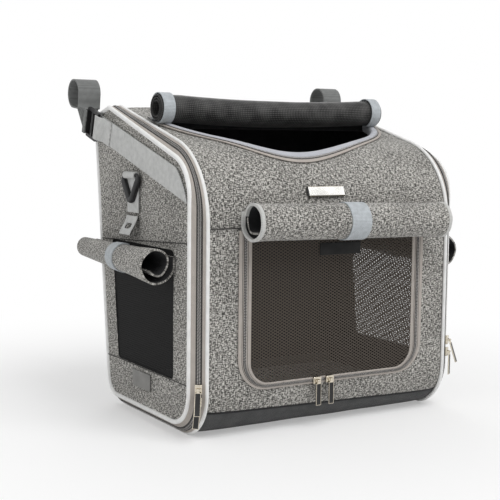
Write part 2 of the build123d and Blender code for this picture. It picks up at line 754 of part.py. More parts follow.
def slider_body(along_x):
    """A slider's body with two ears and the pin that the pull turns on."""
    size = (slider_length, slider_width) if along_x else (slider_width, slider_length)
    body = Pos(0, 0, slider_wall / 2) * Box(*size, slider_wall)
    body = fillet(body.edges().filter_by(Axis.Z), slider_edge * 2)
    body = fillet(body.faces().sort_by(Axis.Z)[-1].edges(), slider_edge)
    ear_z = slider_wall + ear_height / 2 - slider_edge
    for side in (-1, 1):
        ear = Pos(side * (pin_half - ear_wall / 2), 0, ear_z) * Box(ear_wall, ear_depth, ear_height)
        body += ear
    pin = Pos(0, 0, slider_wall + pin_height) * Rot(Y=90) * Cylinder(pin_radius, pin_half * 2 - ear_wall)
    return body + pin


def slider_pull():
    """A pull: a knuckle on the pin, a short neck and a flat tab with a sunk face."""
    knuckle = Rot(Y=90) * Cylinder(knuckle_radius, knuckle_half * 2)
    neck = Pos(0, -pull_neck / 2 - knuckle_radius / 2, 0) * Box(knuckle_half * 2, pull_neck + knuckle_radius, pull_wall)
    tab_y_mid = -knuckle_radius - pull_neck / 2 - pull_length / 2
    tab_box = Box(pull_width, pull_length, pull_wall)
    tab_solid = Pos(0, tab_y_mid, 0) * fillet(tab_box.edges().filter_by(Axis.Z), pull_corner_radius)
    sunk = Pos(0, tab_y_mid, (pull_wall - pull_face_depth) / 2) * Box(
        pull_width - pull_face_margin * 2, pull_length - pull_face_margin * 2, pull_face_depth)
    hole = Rot(Y=90) * Cylinder(pin_radius + knuckle_clear, knuckle_half * 4)
    return Pos(0, 0, slider_wall + pin_height) * (knuckle + neck + tab_solid - sunk - hole)


def put_slider(name, pull_name, plane, along_x, tilt):
    """Place a slider and its pull, which is turned outwards by the tilt."""
    pieces[name] = plane * slider_body(along_x)
    pin_at = Pos(0, 0, slider_wall + pin_height)
    pieces[pull_name] = plane * pin_at * Rot(X=-tilt) * Pos(0, 0, -slider_wall - pin_height) * slider_pull()
    report_pin(name, plane)


def report_pin(name, plane):
    pin = plane * Pos(0, 0, slider_wall + pin_height) * Vertex(0, 0, 0)
    spot = pin.center() + Vector(0, origin_shift_y, 0)
    print("pin", name, [round(value / metre, 6) for value in spot],
          "axis", [round(value, 6) for value in plane.x_dir])


slider_rest = 0.15
front_reach = -flap_centre_y + flap_radius + rest_gap + tie_wall
rear_reach = grip_y + grip_radius + web_wall
origin_shift_y = (front_reach - rear_reach) / 2

door_slider_meet_x = -16.5
door_slider_gap = 18.0
for name, side in (("left", -1), ("right", 1)):
    slider_x = door_slider_meet_x + side * door_slider_gap / 2
    slider_z = door_bottom + door_zip_bottom / 2
    plane = Plane(origin=(slider_x, coil_front - slider_rest, slider_z), x_dir=(1, 0, 0), z_dir=(0, -1, 0))
    put_slider("door_slider_" + name, "door_pull_" + name, plane, True, 0)

side_slider_spacing = 15.0
left_slider_height = 62.0
right_slider_height = 87.0
upper_pull_tilt = 18.0
half_turn = 180.0
gusset_length = (gusset_run ** 2 + gusset_inset ** 2) ** 0.5
gusset_dir = (gusset_run / gusset_length, gusset_inset / gusset_length)


def corner_turn(height):
    """How far round the front foot's corner a slider sits, in degrees."""
    return max(front_foot_radius - height, 0) / (front_foot_radius * pi) * half_turn


def side_slider_plane(side, height):
    """The plane on the zip's coil at a height. Below the straight stretch it follows the corner."""
    lift = coil_proud * gusset_dir[0] + slider_rest
    flat = max(height, front_foot_radius)
    origin = (side * (seam_x + coil_middle + gusset_dir[1] * lift),
              gusset_inset / 2 - gusset_dir[0] * lift, flat)
    plane = Plane(origin=origin, x_dir=(gusset_dir[0], side * gusset_dir[1], 0),
                  z_dir=(side * gusset_dir[1], -gusset_dir[0], 0))
    turn = Pos(0, front_foot_radius, front_foot_radius) * Rot(X=corner_turn(height))
    turn = turn * Pos(0, -front_foot_radius, -front_foot_radius)
    return Plane(turn * plane.location)


for name, side, height in (("left", -1, left_slider_height), ("right", 1, right_slider_height)):
    put_slider("upper_slider_" + name, "upper_pull_" + name, side_slider_plane(side, height), False, upper_pull_tilt)
    lower_height = height - side_slider_spacing
    put_slider("lower_slider_" + name, "lower_pull_" + name,
               side_slider_plane(side, lower_height), False, corner_turn(lower_height))

for name, shape in pieces.items():
    placed = Pos(0, origin_shift_y, 0) * shape
    solids = placed.solids()
    export_step(Compound(solids) if len(solids) > 1 else solids[0], f"parts/{name}.step")
print("nodes", len(pieces), "shift", origin_shift_y)
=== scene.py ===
import json
import math

import bpy
import numpy as np
from mathutils import Matrix, Vector, noise


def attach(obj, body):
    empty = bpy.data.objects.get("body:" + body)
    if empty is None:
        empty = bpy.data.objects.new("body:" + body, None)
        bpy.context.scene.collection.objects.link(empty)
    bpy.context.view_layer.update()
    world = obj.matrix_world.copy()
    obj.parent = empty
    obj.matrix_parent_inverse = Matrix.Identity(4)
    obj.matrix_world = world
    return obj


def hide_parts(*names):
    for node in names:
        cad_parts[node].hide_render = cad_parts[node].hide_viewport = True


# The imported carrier: hard pieces stay as they are and get a finish, and each
# piece of cloth, webbing, cord or padding is replaced by a sewn-looking one.
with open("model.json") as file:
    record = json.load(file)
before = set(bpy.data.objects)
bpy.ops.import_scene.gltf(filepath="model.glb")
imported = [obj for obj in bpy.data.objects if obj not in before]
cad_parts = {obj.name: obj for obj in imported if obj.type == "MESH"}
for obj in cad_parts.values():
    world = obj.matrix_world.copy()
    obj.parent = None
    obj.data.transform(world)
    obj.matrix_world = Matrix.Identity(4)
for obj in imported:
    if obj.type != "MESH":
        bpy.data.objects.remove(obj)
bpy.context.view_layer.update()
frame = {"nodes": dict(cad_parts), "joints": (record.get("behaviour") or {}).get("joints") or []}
nodes = frame["nodes"]
bpy.ops.object.select_all(action="DESELECT")

# Camera: a long lens a little above the middle of the bag, to its front left,
# set by yaw, pitch and roll.
camera_yaw = math.radians(31.36)
camera_pitch = math.radians(5.84)
camera_roll = math.radians(0.644)
camera_place = (-0.7591, -1.1867, 0.3407)
camera_lens = 80.04
forward = Vector((math.sin(camera_yaw) * math.cos(camera_pitch),
                  math.cos(camera_yaw) * math.cos(camera_pitch), -math.sin(camera_pitch)))
level = Vector((math.cos(camera_yaw), -math.sin(camera_yaw), 0))
upward = level.cross(forward)
right = level * math.cos(camera_roll) + upward * math.sin(camera_roll)
upright = upward * math.cos(camera_roll) - level * math.sin(camera_roll)
camera_turn = Matrix((right, upright, -forward)).transposed().to_4x4()
bpy.ops.object.camera_add()
camera = bpy.context.object
camera.matrix_world = Matrix.Translation(camera_place) @ camera_turn
camera.data.sensor_width = 36
camera.data.lens = camera_lens
camera.data.clip_end = 50
bpy.context.scene.camera = camera


# Studio: a white world that lights the bag softly, one large lamp above the front
# and two weak ones that lift the shaded side and the rear.
def calculate(tree, operation, first, second):
    """One sum in a material. Each value is a number or what another node gives."""
    step = tree.nodes.new("ShaderNodeMath")
    step.operation = operation
    for socket, value in zip(step.inputs, (first, second)):
        if isinstance(value, (int, float)):
            socket.default_value = value
        else:
            tree.links.new(value, socket)
    return step.outputs[0]


def background_rays(tree):
    """1 for a ray that shows the background: seen straight, through a piece or off its gloss."""
    path = tree.nodes.new("ShaderNodeLightPath").outputs
    seen = calculate(tree, "MAXIMUM", path["Is Camera Ray"], path["Is Transmission Ray"])
    return calculate(tree, "MAXIMUM", seen, path["Is Glossy Ray"])


ambient_light = 0.46
scene = bpy.context.scene
scene.view_settings.view_transform = "Standard"
world = bpy.data.worlds.new("studio")
scene.world = world
world.use_nodes = True
sky = world.node_tree
sky.nodes.clear()
sky_choice = sky.nodes.new("ShaderNodeMixShader")
sky.links.new(background_rays(sky), sky_choice.inputs[0])
for socket, strength in ((1, ambient_light), (2, 1.0)):
    background = sky.nodes.new("ShaderNodeBackground")
    background.inputs["Color"].default_value = (1, 1, 1, 1)
    background.inputs["Strength"].default_value = strength
    sky.links.new(background.outputs[0], sky_choice.inputs[socket])
sky_output = sky.nodes.new("ShaderNodeOutputWorld")
sky.links.new(sky_choice.outputs[0], sky_output.inputs["Surface"])

bag_middle = Vector((0, 0, 0.2))
lamps = {
    "key": ((0.30, -1.30, 2.00), 1.4, 30),
    "left_fill": ((-1.7, -0.2, 0.9), 1.2, 5),
    "rear_fill": ((0.6, 1.6, 1.2), 1.2, 8),
}
for name, (place, size, power) in lamps.items():
    aim = (bag_middle - Vector(place)).to_track_quat("-Z", "Y")
    bpy.ops.object.light_add(type="AREA", location=place, rotation=aim.to_euler())
    lamp = bpy.context.object
    lamp.name = name
    lamp.data.size = size
    lamp.data.energy = power

# Floor: matt white where the bag's shadow falls, and fading into the white
# background away from it.
fade_from, fade_to, least_white = 0.28, 0.80, 0.35
bpy.ops.mesh.primitive_plane_add(size=30)
floor = bpy.context.object
floor.name = "floor"
floor_paint = bpy.data.materials.new("floor_paint")
floor_paint.use_nodes = True
floor_tree = floor_paint.node_tree
floor_shader = floor_tree.nodes["Principled BSDF"]
floor_shader.inputs["Base Color"].default_value = (0.93, 0.93, 0.93, 1)
floor_shader.inputs["Roughness"].default_value = 0.9
floor_place = floor_tree.nodes.new("ShaderNodeTexCoord")
floor_reach = floor_tree.nodes.new("ShaderNodeVectorMath")
floor_reach.operation = "LENGTH"
floor_tree.links.new(floor_place.outputs["Object"], floor_reach.inputs[0])
floor_fade = floor_tree.nodes.new("ShaderNodeMapRange")
floor_fade.interpolation_type = "SMOOTHSTEP"
floor_fade.inputs["From Min"].default_value = fade_from
floor_fade.inputs["From Max"].default_value = fade_to
floor_fade.inputs["To Min"].default_value = least_white
floor_tree.links.new(floor_reach.outputs["Value"], floor_fade.inputs["Value"])
floor_white = calculate(floor_tree, "MULTIPLY", floor_fade.outputs[0], background_rays(floor_tree))
floor_glow = floor_tree.nodes.new("ShaderNodeEmission")
floor_glow.inputs["Strength"].default_value = 1.0
floor_mix = floor_tree.nodes.new("ShaderNodeMixShader")
floor_tree.links.new(floor_white, floor_mix.inputs[0])
floor_tree.links.new(floor_shader.outputs[0], floor_mix.inputs[1])
floor_tree.links.new(floor_glow.outputs[0], floor_mix.inputs[2])
floor_tree.links.new(floor_mix.outputs[0], floor_tree.nodes["Material Output"].inputs["Surface"])
floor.data.materials.append(floor_paint)


# Grey heather cloth: a plain weave of light and dark threads, laminated to thin
# foam. Short streaks of thread run both ways over it, and faint clouds.
def cloth_nodes(name, rough, sheen):
    """A new cloth material, with its nodes and its shader."""
    material = bpy.data.materials.new(name)
    material.use_nodes = True
    tree = material.node_tree
    shader = tree.nodes["Principled BSDF"]
    shader.inputs["Roughness"].default_value = rough
    shader.inputs["Sheen Weight"].default_value = sheen
    shader.inputs["Sheen Roughness"].default_value = 0.5
    shader.inputs["Specular IOR Level"].default_value = 0.2
    return material, tree, shader


def coordinates(tree, kind):
    """Where a point lies: UV in metres of the cloth, or Object in metres of the bag."""
    return tree.nodes.new("ShaderNodeTexCoord").outputs[kind]


def mottle(tree, source, scale, detail=2.0, stretch=(1, 1, 1)):
    """Noise over a piece, drawn out into streaks where stretch says so."""
    mapping = tree.nodes.new("ShaderNodeMapping")
    mapping.inputs["Scale"].default_value = stretch
    tree.links.new(source, mapping.inputs["Vector"])
    texture = tree.nodes.new("ShaderNodeTexNoise")
    texture.inputs["Scale"].default_value = scale
    texture.inputs["Detail"].default_value = detail
    tree.links.new(mapping.outputs[0], texture.inputs["Vector"])
    return texture.outputs["Fac"]


def weigh(tree, *parts):
    """The sum of several values, each times its share."""
    total = None
    for value, share in parts:
        part = calculate(tree, "MULTIPLY", value, share)
        total = part if total is None else calculate(tree, "ADD", total, part)
    return total


def dye(tree, shader, pattern, *stops):
    """Colour a piece by a pattern, from one stop to the next."""
    colours = tree.nodes.new("ShaderNodeValToRGB")
    elements = colours.color_ramp.elements
    elements[0].position = stops[0][0]
    elements[1].position = stops[-1][0]
    for place, _ in stops[1:-1]:
        elements.new(place)
    for element, (place, colour) in zip(elements, stops):
        element.color = (*colour, 1)
    tree.links.new(pattern, colours.inputs[0])
    tree.links.new(colours.outputs["Color"], shader.inputs["Base Color"])


def raise_surface(tree, shader, height, distance, strength=0.6):
    """Raise the surface by a pattern, up to a distance in metres."""
    bump = tree.nodes.new("ShaderNodeBump")
    bump.inputs["Distance"].default_value = distance
    bump.inputs["Strength"].default_value = strength
    tree.links.new(height, bump.inputs["Height"])
    tree.links.new(bump.outputs[0], shader.inputs["Normal"])


def heather_cloth(name, dark, middle, light):
    material, tree, shader = cloth_nodes(name, 0.92, 0.15)
    uv = coordinates(tree, "UV")
    streak = 3.8
    weft = mottle(tree, uv, 250, stretch=(1, streak, 1))
    warp = mottle(tree, uv, 205, stretch=(streak, 1, streak))
    speck = mottle(tree, uv, 620, 3.0)
    cloud = calculate(tree, "SUBTRACT", mottle(tree, uv, 14), 0.5)
    threads = weigh(tree, (weft, 0.42), (warp, 0.34), (speck, 0.24), (cloud, 0.07))
    dye(tree, shader, threads, (0.435, dark), (0.5, middle), (0.565, light))
    raise_surface(tree, shader, threads, 0.0009)
    return material


heather = heather_cloth("grey_heather", (0.052, 0.050, 0.046), (0.225, 0.218, 0.202), (0.60, 0.585, 0.55))

# Shell: boards and foam between two cloths hold the bag's outline, seen from the
# side as five straight runs and five round corners. The outline starts at the
# rear foot and goes along the base, up the front, over the brow and down the rear.
front_y = -0.133
ledge_run = 0.228
rear_foot = 0.240
brow, side_brow = 0.3165, 0.3024
slope, side_slope = math.radians(15.0), math.radians(17.8)
drop = math.radians(16.0)
lean = math.radians(7.0)
side_step = 0.0145
shoulder, side_shoulder = 0.097, 0.050
heel_radius, foot_radius, peak_radius, ledge_radius = 0.040, 0.055, 0.017, 0.025
peak = Vector((front_y + ledge_run, brow + ledge_run * math.tan(slope)))


def straight(start, end, steps):
    """Points along a straight run, without its ends."""
    return [Vector(start).lerp(Vector(end), step / steps) for step in range(1, steps)]


def rounded(corners, radii, arc_steps=14, run_steps=26):
    """Points round a closed line, as many for one size of it as for another."""
    arcs = []
    for index, corner in enumerate(corners):
        here = Vector(corner)
        back = (Vector(corners[index - 1]) - here).normalized()
        ahead = (Vector(corners[(index + 1) % len(corners)]) - here).normalized()
        half = back.angle(ahead) / 2
        centre = here + (back + ahead).normalized() * radii[index] / math.sin(half)
        first = here + back * radii[index] / math.tan(half) - centre
        last = here + ahead * radii[index] / math.tan(half) - centre
        turn = math.pi - 2 * half
        arc = []
        for step in range(arc_steps + 1):
            share = step / arc_steps
            from_first, from_last = math.sin((1 - share) * turn), math.sin(share * turn)
            arc.append(centre + (first * from_first + last * from_last) / math.sin(turn))
        arcs.append(arc)
    points = []
    for index, arc in enumerate(arcs):
        points += arc + straight(arc[-1], arcs[(index + 1) % len(arcs)][0], run_steps)
    return points


def meet(point_a, angle_a, point_b, angle_b):
    """Where two straight lines cross."""
    way_a = Vector((math.cos(angle_a), math.sin(angle_a)))
    way_b = Vector((math.cos(angle_b), math.sin(angle_b)))
    gap = Vector(point_b) - Vector(point_a)
    run = gap.cross(way_b) / way_a.cross(way_b)
    return Vector(point_a) + way_a * run


def side_view(inset, share=0.0):
    """The outline, moved inwards: share 0 at the corner seam and share 1 at the side panel."""
    around = inset + side_step * share
    angle = slope + (side_slope - slope) * share
    height = brow + (side_brow - brow) * share
    on_slope = (front_y + inset * math.sin(angle), height - inset * math.cos(angle))
    ledge_height = height + ledge_run * math.tan(angle)
    on_ledge = (peak.x - inset * math.sin(drop), ledge_height - inset * math.cos(drop))
    on_rear = (front_y + rear_foot - around * math.cos(lean), around * math.sin(lean))
    rear_way = math.pi / 2 - lean
    corners = [
        meet((0, around), 0, on_rear, rear_way),
        Vector((front_y + around, around)),
        meet((front_y + around, 0), math.pi / 2, on_slope, angle),
        meet(on_slope, angle, on_ledge, -drop),
        meet(on_ledge, -drop, on_rear, rear_way),
    ]
    shoulder_radius = shoulder + (side_shoulder - shoulder) * share - inset
    return rounded(corners, [heel_radius - around, foot_radius - around, shoulder_radius,
                             peak_radius - around, ledge_radius - around])


outline = side_view(0)
shell_line = np.array([tuple(point) for point in outline + outline[:1]])
shell_run = np.concatenate(([0], np.cumsum(np.hypot(*np.diff(shell_line, axis=0).T))))
shell_length = shell_run[-1]


def on_shell(distance, proud=0.0):
    """The place at a distance along the outline, moved outwards."""
    def at(along):
        return np.array([np.interp(along % shell_length, shell_run, shell_line[:, axis]) for axis in (0, 1)])
    along = distance % shell_length
    way = Vector(at(along + 0.002) - at(along - 0.002)).normalized()
    return Vector(at(along)) + Vector((-way.y, way.x)) * proud


def distance_at(axis, value, first, last):
    """Where the outline reaches a depth (axis 0) or a height (axis 1), between two distances."""
    tries = np.linspace(first, last, 4000)
    places = np.interp(tries % shell_length, shell_run, shell_line[:, axis])
    return tries[int(np.argmin(np.abs(places - value)))]


tray_height = 0.031
seam_height = 0.239
tray_rear = distance_at(1, tray_height, 0, 0.08)
tray_front = distance_at(1, tray_height, 0.15, 0.30)
front_seam = distance_at(1, seam_height, 0.3, 0.6)
top_peak = distance_at(0, peak.x, 0.55, 0.80)


# Base tray: charcoal coated cloth over a stiff board, turned up all round. Its
# seam at the front runs a little lower towards the right.
def pick(piece):
    """Select a piece alone."""
    bpy.ops.object.select_all(action="DESELECT")
    piece.select_set(True)
    bpy.context.view_layer.objects.active = piece


def cut_sheet(name, columns, rows, width, length, place):
    """A flat sheet of cloth, laid where place says for each share of its width and length."""
    bpy.ops.mesh.primitive_grid_add(x_subdivisions=columns, y_subdivisions=rows, size=1)
    piece = bpy.context.object
    piece.name = name
    piece.data.name = name
    for corner in piece.data.uv_layers[0].data:
        corner.uv = (corner.uv[0] * width, corner.uv[1] * length)
    for vertex in piece.data.vertices:
        vertex.co = place(vertex.co.x + 0.5, vertex.co.y + 0.5)
    return piece


def fix(piece, body, slot, *replaced):
    """Put a piece on its body, in place of the plain solids that it stands for."""
    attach(piece, body)
    if replaced:
        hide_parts(*replaced)


def finish_cloth(piece, wall, materials, body, slot, *replaced, offset=-1.0, inner=0, rim=0):
    """Give a sheet its thickness and its cloth, and sew it to its body."""
    pick(piece)
    for material in materials:
        piece.data.materials.append(material)
    if wall:
        thick = piece.modifiers.new("thickness", "SOLIDIFY")
        thick.thickness = wall
        thick.offset = offset
        thick.material_offset = inner
        thick.material_offset_rim = rim
        bpy.ops.object.modifier_apply(modifier=thick.name)
    bpy.ops.object.shade_smooth_by_angle(angle=math.radians(40))
    fix(piece, body, slot, *replaced)
    bpy.ops.object.select_all(action="DESELECT")
    return piece


def ribs(tree, source, pitch, way="X", turn=0.0):
    """Even ribs across a cloth, one to each pitch, turned about its face."""
    if turn:
        mapping = tree.nodes.new("ShaderNodeMapping")
        mapping.inputs["Rotation"].default_value = (0, 0, turn)
        tree.links.new(source, mapping.inputs["Vector"])
        source = mapping.outputs[0]
    wave = tree.nodes.new("ShaderNodeTexWave")
    wave_length = 0.31
    wave.inputs["Scale"].default_value = wave_length / pitch
    wave.bands_direction = way
    tree.links.new(source, wave.inputs["Vector"])
    return wave.outputs["Fac"]


def plain_cloth(name, dark, light, kind="UV", rib=0.0011, rough=0.8, sheen=0.1):
    """A plain weave of one colour, a little patchy."""
    material, tree, shader = cloth_nodes(name, rough, sheen)
    source = coordinates(tree, kind)
    weave = calculate(tree, "MULTIPLY", ribs(tree, source, rib, "Y"), ribs(tree, source, rib))
    shade = weigh(tree, (weave, 0.45), (mottle(tree, source, 60, 3.0), 0.55))
    dye(tree, shader, shade, (0.2, dark), (0.75, light))
    raise_surface(tree, shader, weave, 0.0004)
    return material


def slack(place, size, depth):
    """How far cloth gives inwards at a place, never outwards."""
    return -depth * (0.5 + 0.5 * noise.noise(place / size))


def edge_fade(share):
    """0 at the two ends of a sheet, where it is sewn, and 1 between them."""
    reach = 0.08
    return min(1.0, share / reach, (1 - share) / reach)


wrap_half = 0.1677
side_sink, side_reach = 0.0024, 0.011
seam_sink, seam_reach = 0.0012, 0.008


def wrap_sheet(name, first, last, columns, rows, depth, proud=0.0, dips=(0.0, 0.0)):
    """Cloth laid round the shell and sunk along its seams. Its ends dip towards the right."""
    def place(u, v):
        x = (u * 2 - 1) * wrap_half
        start, end = first - dips[0] * u, last - dips[1] * u
        distance = start + (end - start) * v
        spot = on_shell(distance)
        give = slack(Vector((x, spot.x, spot.y)), 0.05, depth) * edge_fade(u) * edge_fade(v)
        give -= side_sink * math.exp((abs(x) - wrap_half) / side_reach)
        give -= seam_sink * math.exp(-min(distance - start, end - distance) / seam_reach)
        spot = on_shell(distance, proud + give)
        return (x, spot.x, spot.y)
    return cut_sheet(name, columns, rows, wrap_half * 2, last - first, place)


seam_dip = 0.011
panel_wall = 0.004
charcoal = plain_cloth("charcoal_base_cloth", (0.045, 0.046, 0.047), (0.11, 0.11, 0.11))
tray = wrap_sheet("base_tray_cloth", tray_rear, tray_front, 84, 70, 0.0008, dips=(0, seam_dip))
finish_cloth(tray, panel_wall, [charcoal], "bag", "dark_base", "base_tray")

# Base trim: a narrow black binding of woven tape, sewn over the seam between the
# tray and the front.
trim_half = 0.0014
black_lining = plain_cloth("black_lining", (0.008, 0.008, 0.009), (0.03, 0.03, 0.032))
trim = wrap_sheet("base_trim_tape", tray_front - trim_half, tray_front + trim_half, 60, 3, 0.0, 0.0006,
                  (seam_dip, seam_dip))
finish_cloth(trim, 0.0006, [black_lining], "bag", "flap_lining", "base_trim")


# Front panel: heather cloth over foam with a black lining, and the doorway cut
# out of it. The door zip's tape is sewn over the cut edge.
def quarter(centre_x, centre_y, radius, start, steps):
    """Points round a quarter turn, from an angle."""
    turns = [start + math.pi / 2 * step / steps for step in range(steps + 1)]
    return [Vector((centre_x + radius * math.cos(turn), centre_y + radius * math.sin(turn)))
            for turn in turns]


def doorway(share, top):
    """The U of the door: share 0 is the zip's outer edge and share 1 the net's edge."""
    half = 0.1315 - 0.0165 * share
    bottom = 0.054 + 0.0075 * share
    radius = 0.037 - 0.012 * share
    bend = bottom + radius
    return ([Vector((-half, top))] + straight((-half, top), (-half, bend), 30)
            + quarter(-half + radius, bend, radius, math.pi, 14)
            + straight((-half + radius, bottom), (half - radius, bottom), 44)
            + quarter(half - radius, bend, radius, math.pi * 1.5, 14)
            + straight((half, bend), (half, top), 30) + [Vector((half, top))])


def inside(line, x, y):
    """Whether a point lies in a closed outline."""
    crossed = False
    for index, here in enumerate(line):
        before = line[index - 1]
        if (here[1] > y) != (before[1] > y):
            if x < (before[0] - here[0]) * (y - here[1]) / (before[1] - here[1]) + here[0]:
                crossed = not crossed
    return crossed


def nearest(line, x, y):
    """The closest point of a closed outline."""
    here = Vector((x, y))
    best, found = 1e9, None
    for index, end in enumerate(line):
        start = line[index - 1]
        way = end - start
        if way.length < 1e-9:
            continue
        share = max(0.0, min(1.0, (here - start).dot(way) / way.length_squared))
        spot = start + way * share
        if (spot - here).length < best:
            best, found = (spot - here).length, spot
    return found


seen_from_front, seen_from_side, seen_from_above = (0, 2), (1, 2), (0, 1)


def trim_sheet(piece, line, view, keep_inside, lay=None):
    """Cut a sheet along an outline seen from one side, and bring its raw edge onto the line."""
    pick(piece)
    across, up = view
    bpy.ops.object.mode_set(mode="EDIT")
    bpy.ops.mesh.select_mode(type="FACE")
    bpy.ops.mesh.select_all(action="DESELECT")
    bpy.ops.object.mode_set(mode="OBJECT")
    cut, kept = set(), set()
    for face in piece.data.polygons:
        face.select = inside(line, face.center[across], face.center[up]) != keep_inside
        (cut if face.select else kept).update(face.vertices)
    for index in cut & kept:
        corner = piece.data.vertices[index].co
        spot = nearest(line, corner[across], corner[up])
        if lay:
            piece.data.vertices[index].co = lay(*spot)
        else:
            corner[across], corner[up] = spot
    bpy.ops.object.mode_set(mode="EDIT")
    bpy.ops.mesh.delete(type="FACE")
    bpy.ops.object.mode_set(mode="OBJECT")


front = wrap_sheet("front_panel_cloth", tray_front, front_seam, 96, 64, 0.0012, dips=(seam_dip, 0))
trim_sheet(front, doorway(0.3, 0.2289), seen_from_front, False)
finish_cloth(front, panel_wall, [heather, black_lining], "bag", "heather_fabric", "front_panel", inner=1)


# Top cover: heather cloth from the seam above the door, over the brow and up the
# slope to the peak, with the oval head opening cut out of it.
def mouth(inset):
    """The head opening in plan: a bow in front, a little askew, and a flat rear edge."""
    half, depth, radius = 0.163, 0.116, 0.018
    rear, side = front_y + 0.165, front_y + 0.147
    line = []
    for step in range(90):
        angle = math.pi + math.pi * step / 90
        x = half * math.cos(angle)
        skew = 0.009 * math.sin(math.pi * x / half)
        line.append(Vector((x, side - depth * abs(math.sin(angle)) ** 1.2 + skew)))
    line += quarter(half - radius, rear - radius, radius, 0, 10)
    line += straight((half - radius, rear), (radius - half, rear), 60)
    line += quarter(radius - half, rear - radius, radius, math.pi / 2, 10)
    moved = []
    for index, spot in enumerate(line):
        way = (line[(index + 2) % len(line)] - line[index - 2]).normalized()
        moved.append(spot + Vector((-way.y, way.x)) * inset)
    return moved


slope_tries = np.linspace(front_seam, top_peak, 3000)
slope_places = np.array([tuple(on_shell(distance)) for distance in slope_tries])


def on_top(x, y, proud=0.0):
    """The place on the top cover above a point of the plan."""
    spot = on_shell(np.interp(y, slope_places[:, 0], slope_tries), proud)
    return Vector((x, spot.x, spot.y))


top = wrap_sheet("top_cover_cloth", front_seam, top_peak, 110, 104, 0.0022)
trim_sheet(top, mouth(0.005), seen_from_above, False, on_top)
finish_cloth(top, panel_wall, [heather, black_lining], "bag", "heather_fabric", "top_cover", inner=1)

# Rear panel: heather cloth over a board, with a black lining and no opening, from
# the peak down to the tray.
rear = wrap_sheet("rear_panel_cloth", top_peak, shell_length + tray_rear, 84, 96, 0.0010)
finish_cloth(rear, panel_wall, [heather, black_lining], "bag", "heather_fabric", "rear_panel", inner=1)


# Corner bindings: black tape inside the sloping corners, sewn to the panels on
# both sides of each corner.
def loose_copy(piece, name):
    """A copy with a mesh of its own, not yet on any body."""
    copy = piece.copy()
    copy.data = piece.data.copy()
    copy.name = name
    copy.data.name = name
    bpy.context.scene.collection.objects.link(copy)
    copy.parent = None
    for key in list(copy.keys()):
        if key.startswith("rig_"):
            del copy[key]
    return copy


def other_side(piece, name, slot, *replaced):
    """The same piece for the other side of the bag."""
    twin = loose_copy(piece, name)
    twin.matrix_world = Matrix.Identity(4)
    twin.data.transform(Matrix.Diagonal((-1, 1, 1, 1)))
    twin.data.flip_normals()
    fix(twin, "bag", slot, *replaced)
    return twin


def ribbon(name, rows, step, width, closed=True):
    """A strip of cloth laid through rows of points, which lie a step apart along it."""
    count = len(rows[0]) if closed else len(rows[0]) - 1

    def place(u, v):
        row = rows[int(round(v * (len(rows) - 1)))]
        return row[int(round(u * count)) % len(row)]
    return cut_sheet(name, count, len(rows) - 1, count * step, width, place)


outline_step = 0.008
binding_profile = [(0.1600, 0.0050, 0), (0.1755, 0.0054, 0.4), (0.1808, 0.0065, 1), (0.1808, 0.0130, 1)]
binding_rows = [[(x, *spot) for spot in side_view(inset, share)] for x, inset, share in binding_profile]
binding = ribbon("inner_binding_right", binding_rows, outline_step, 0.030)
finish_cloth(binding, 0.0007, [black_lining], "bag", "flap_lining")
other_side(binding, "inner_binding_left", "flap_lining")

# Rear gussets: a plain strip of heather cloth round each sloping corner, from the
# peak down the rear to the heel, where the side zips' tape takes over.
gusset_run = 0.016
corner_x = 0.170
rise_out, rise_in = 0.566, 0.824


def gusset_strip(name, first_point, last_point, profile):
    """A strip round the sloping corner of the shell: profile gives run outwards and height."""
    rows = []
    for run, height in reversed(profile):
        line = side_view(-height * rise_in, run / gusset_run)
        x = corner_x + run + height * rise_out
        rows.append([(x, *line[point % len(line)]) for point in range(first_point, last_point + 1)])
    return ribbon(name, rows, outline_step, gusset_run, closed=False)


peak_point = min(range(len(outline)), key=lambda index: (outline[index] - peak).length)
gusset_profile = [(0.0023, 0), (0.008, 0.0004), (0.0128, 0)]
gusset = gusset_strip("rear_gusset_right", peak_point, len(outline) + 7, gusset_profile)
finish_cloth(gusset, 0.003, [heather, black_lining], "bag", "heather_fabric", inner=1)
other_side(gusset, "rear_gusset_left", "heather_fabric")


# Side zips: greige tape sewn round the sloping corner, with a grey coil between
# two dark lines of stitching along its middle.
def zip_tape_cloth(name):
    material, tree, shader = cloth_nodes(name, 0.75, 0.1)
    uv = coordinates(tree, "UV")
    rib = ribs(tree, uv, 0.0008)
    shade = weigh(tree, (rib, 0.5), (mottle(tree, uv, 90), 0.5))
    dye(tree, shader, shade, (0.2, (0.37, 0.335, 0.305)), (0.8, (0.52, 0.475, 0.435)))
    raise_surface(tree, shader, rib, 0.0003)
    return material


def zip_coil(name):
    material, tree, shader = cloth_nodes(name, 0.45, 0.0)
    turns = ribs(tree, coordinates(tree, "UV"), 0.0016)
    dye(tree, shader, turns, (0.3, (0.03, 0.028, 0.027)), (0.7, (0.62, 0.60, 0.58)))
    raise_surface(tree, shader, turns, 0.0007, 1.0)
    return material


tape = zip_tape_cloth("greige_tape")
coil = zip_coil("grey_coil")
# This dark cloth is used for the stitching lines of the zips and the side seams, and for the painted shadow
# line above the door.
stitch_and_shadow_line = plain_cloth("dark_stitching_and_painted_shadow", (0.03, 0.029, 0.028), (0.07, 0.067, 0.064))
zip_cloths = [tape, coil, stitch_and_shadow_line]


def paint_rows(piece, rows, coil_rows, dark_rows):
    """Give some rows of a strip the coil's material, and some the dark line's."""
    for face in piece.data.polygons:
        row = face.index // (len(piece.data.polygons) // rows)
        face.material_index = 1 if row in coil_rows else 2 if row in dark_rows else 0


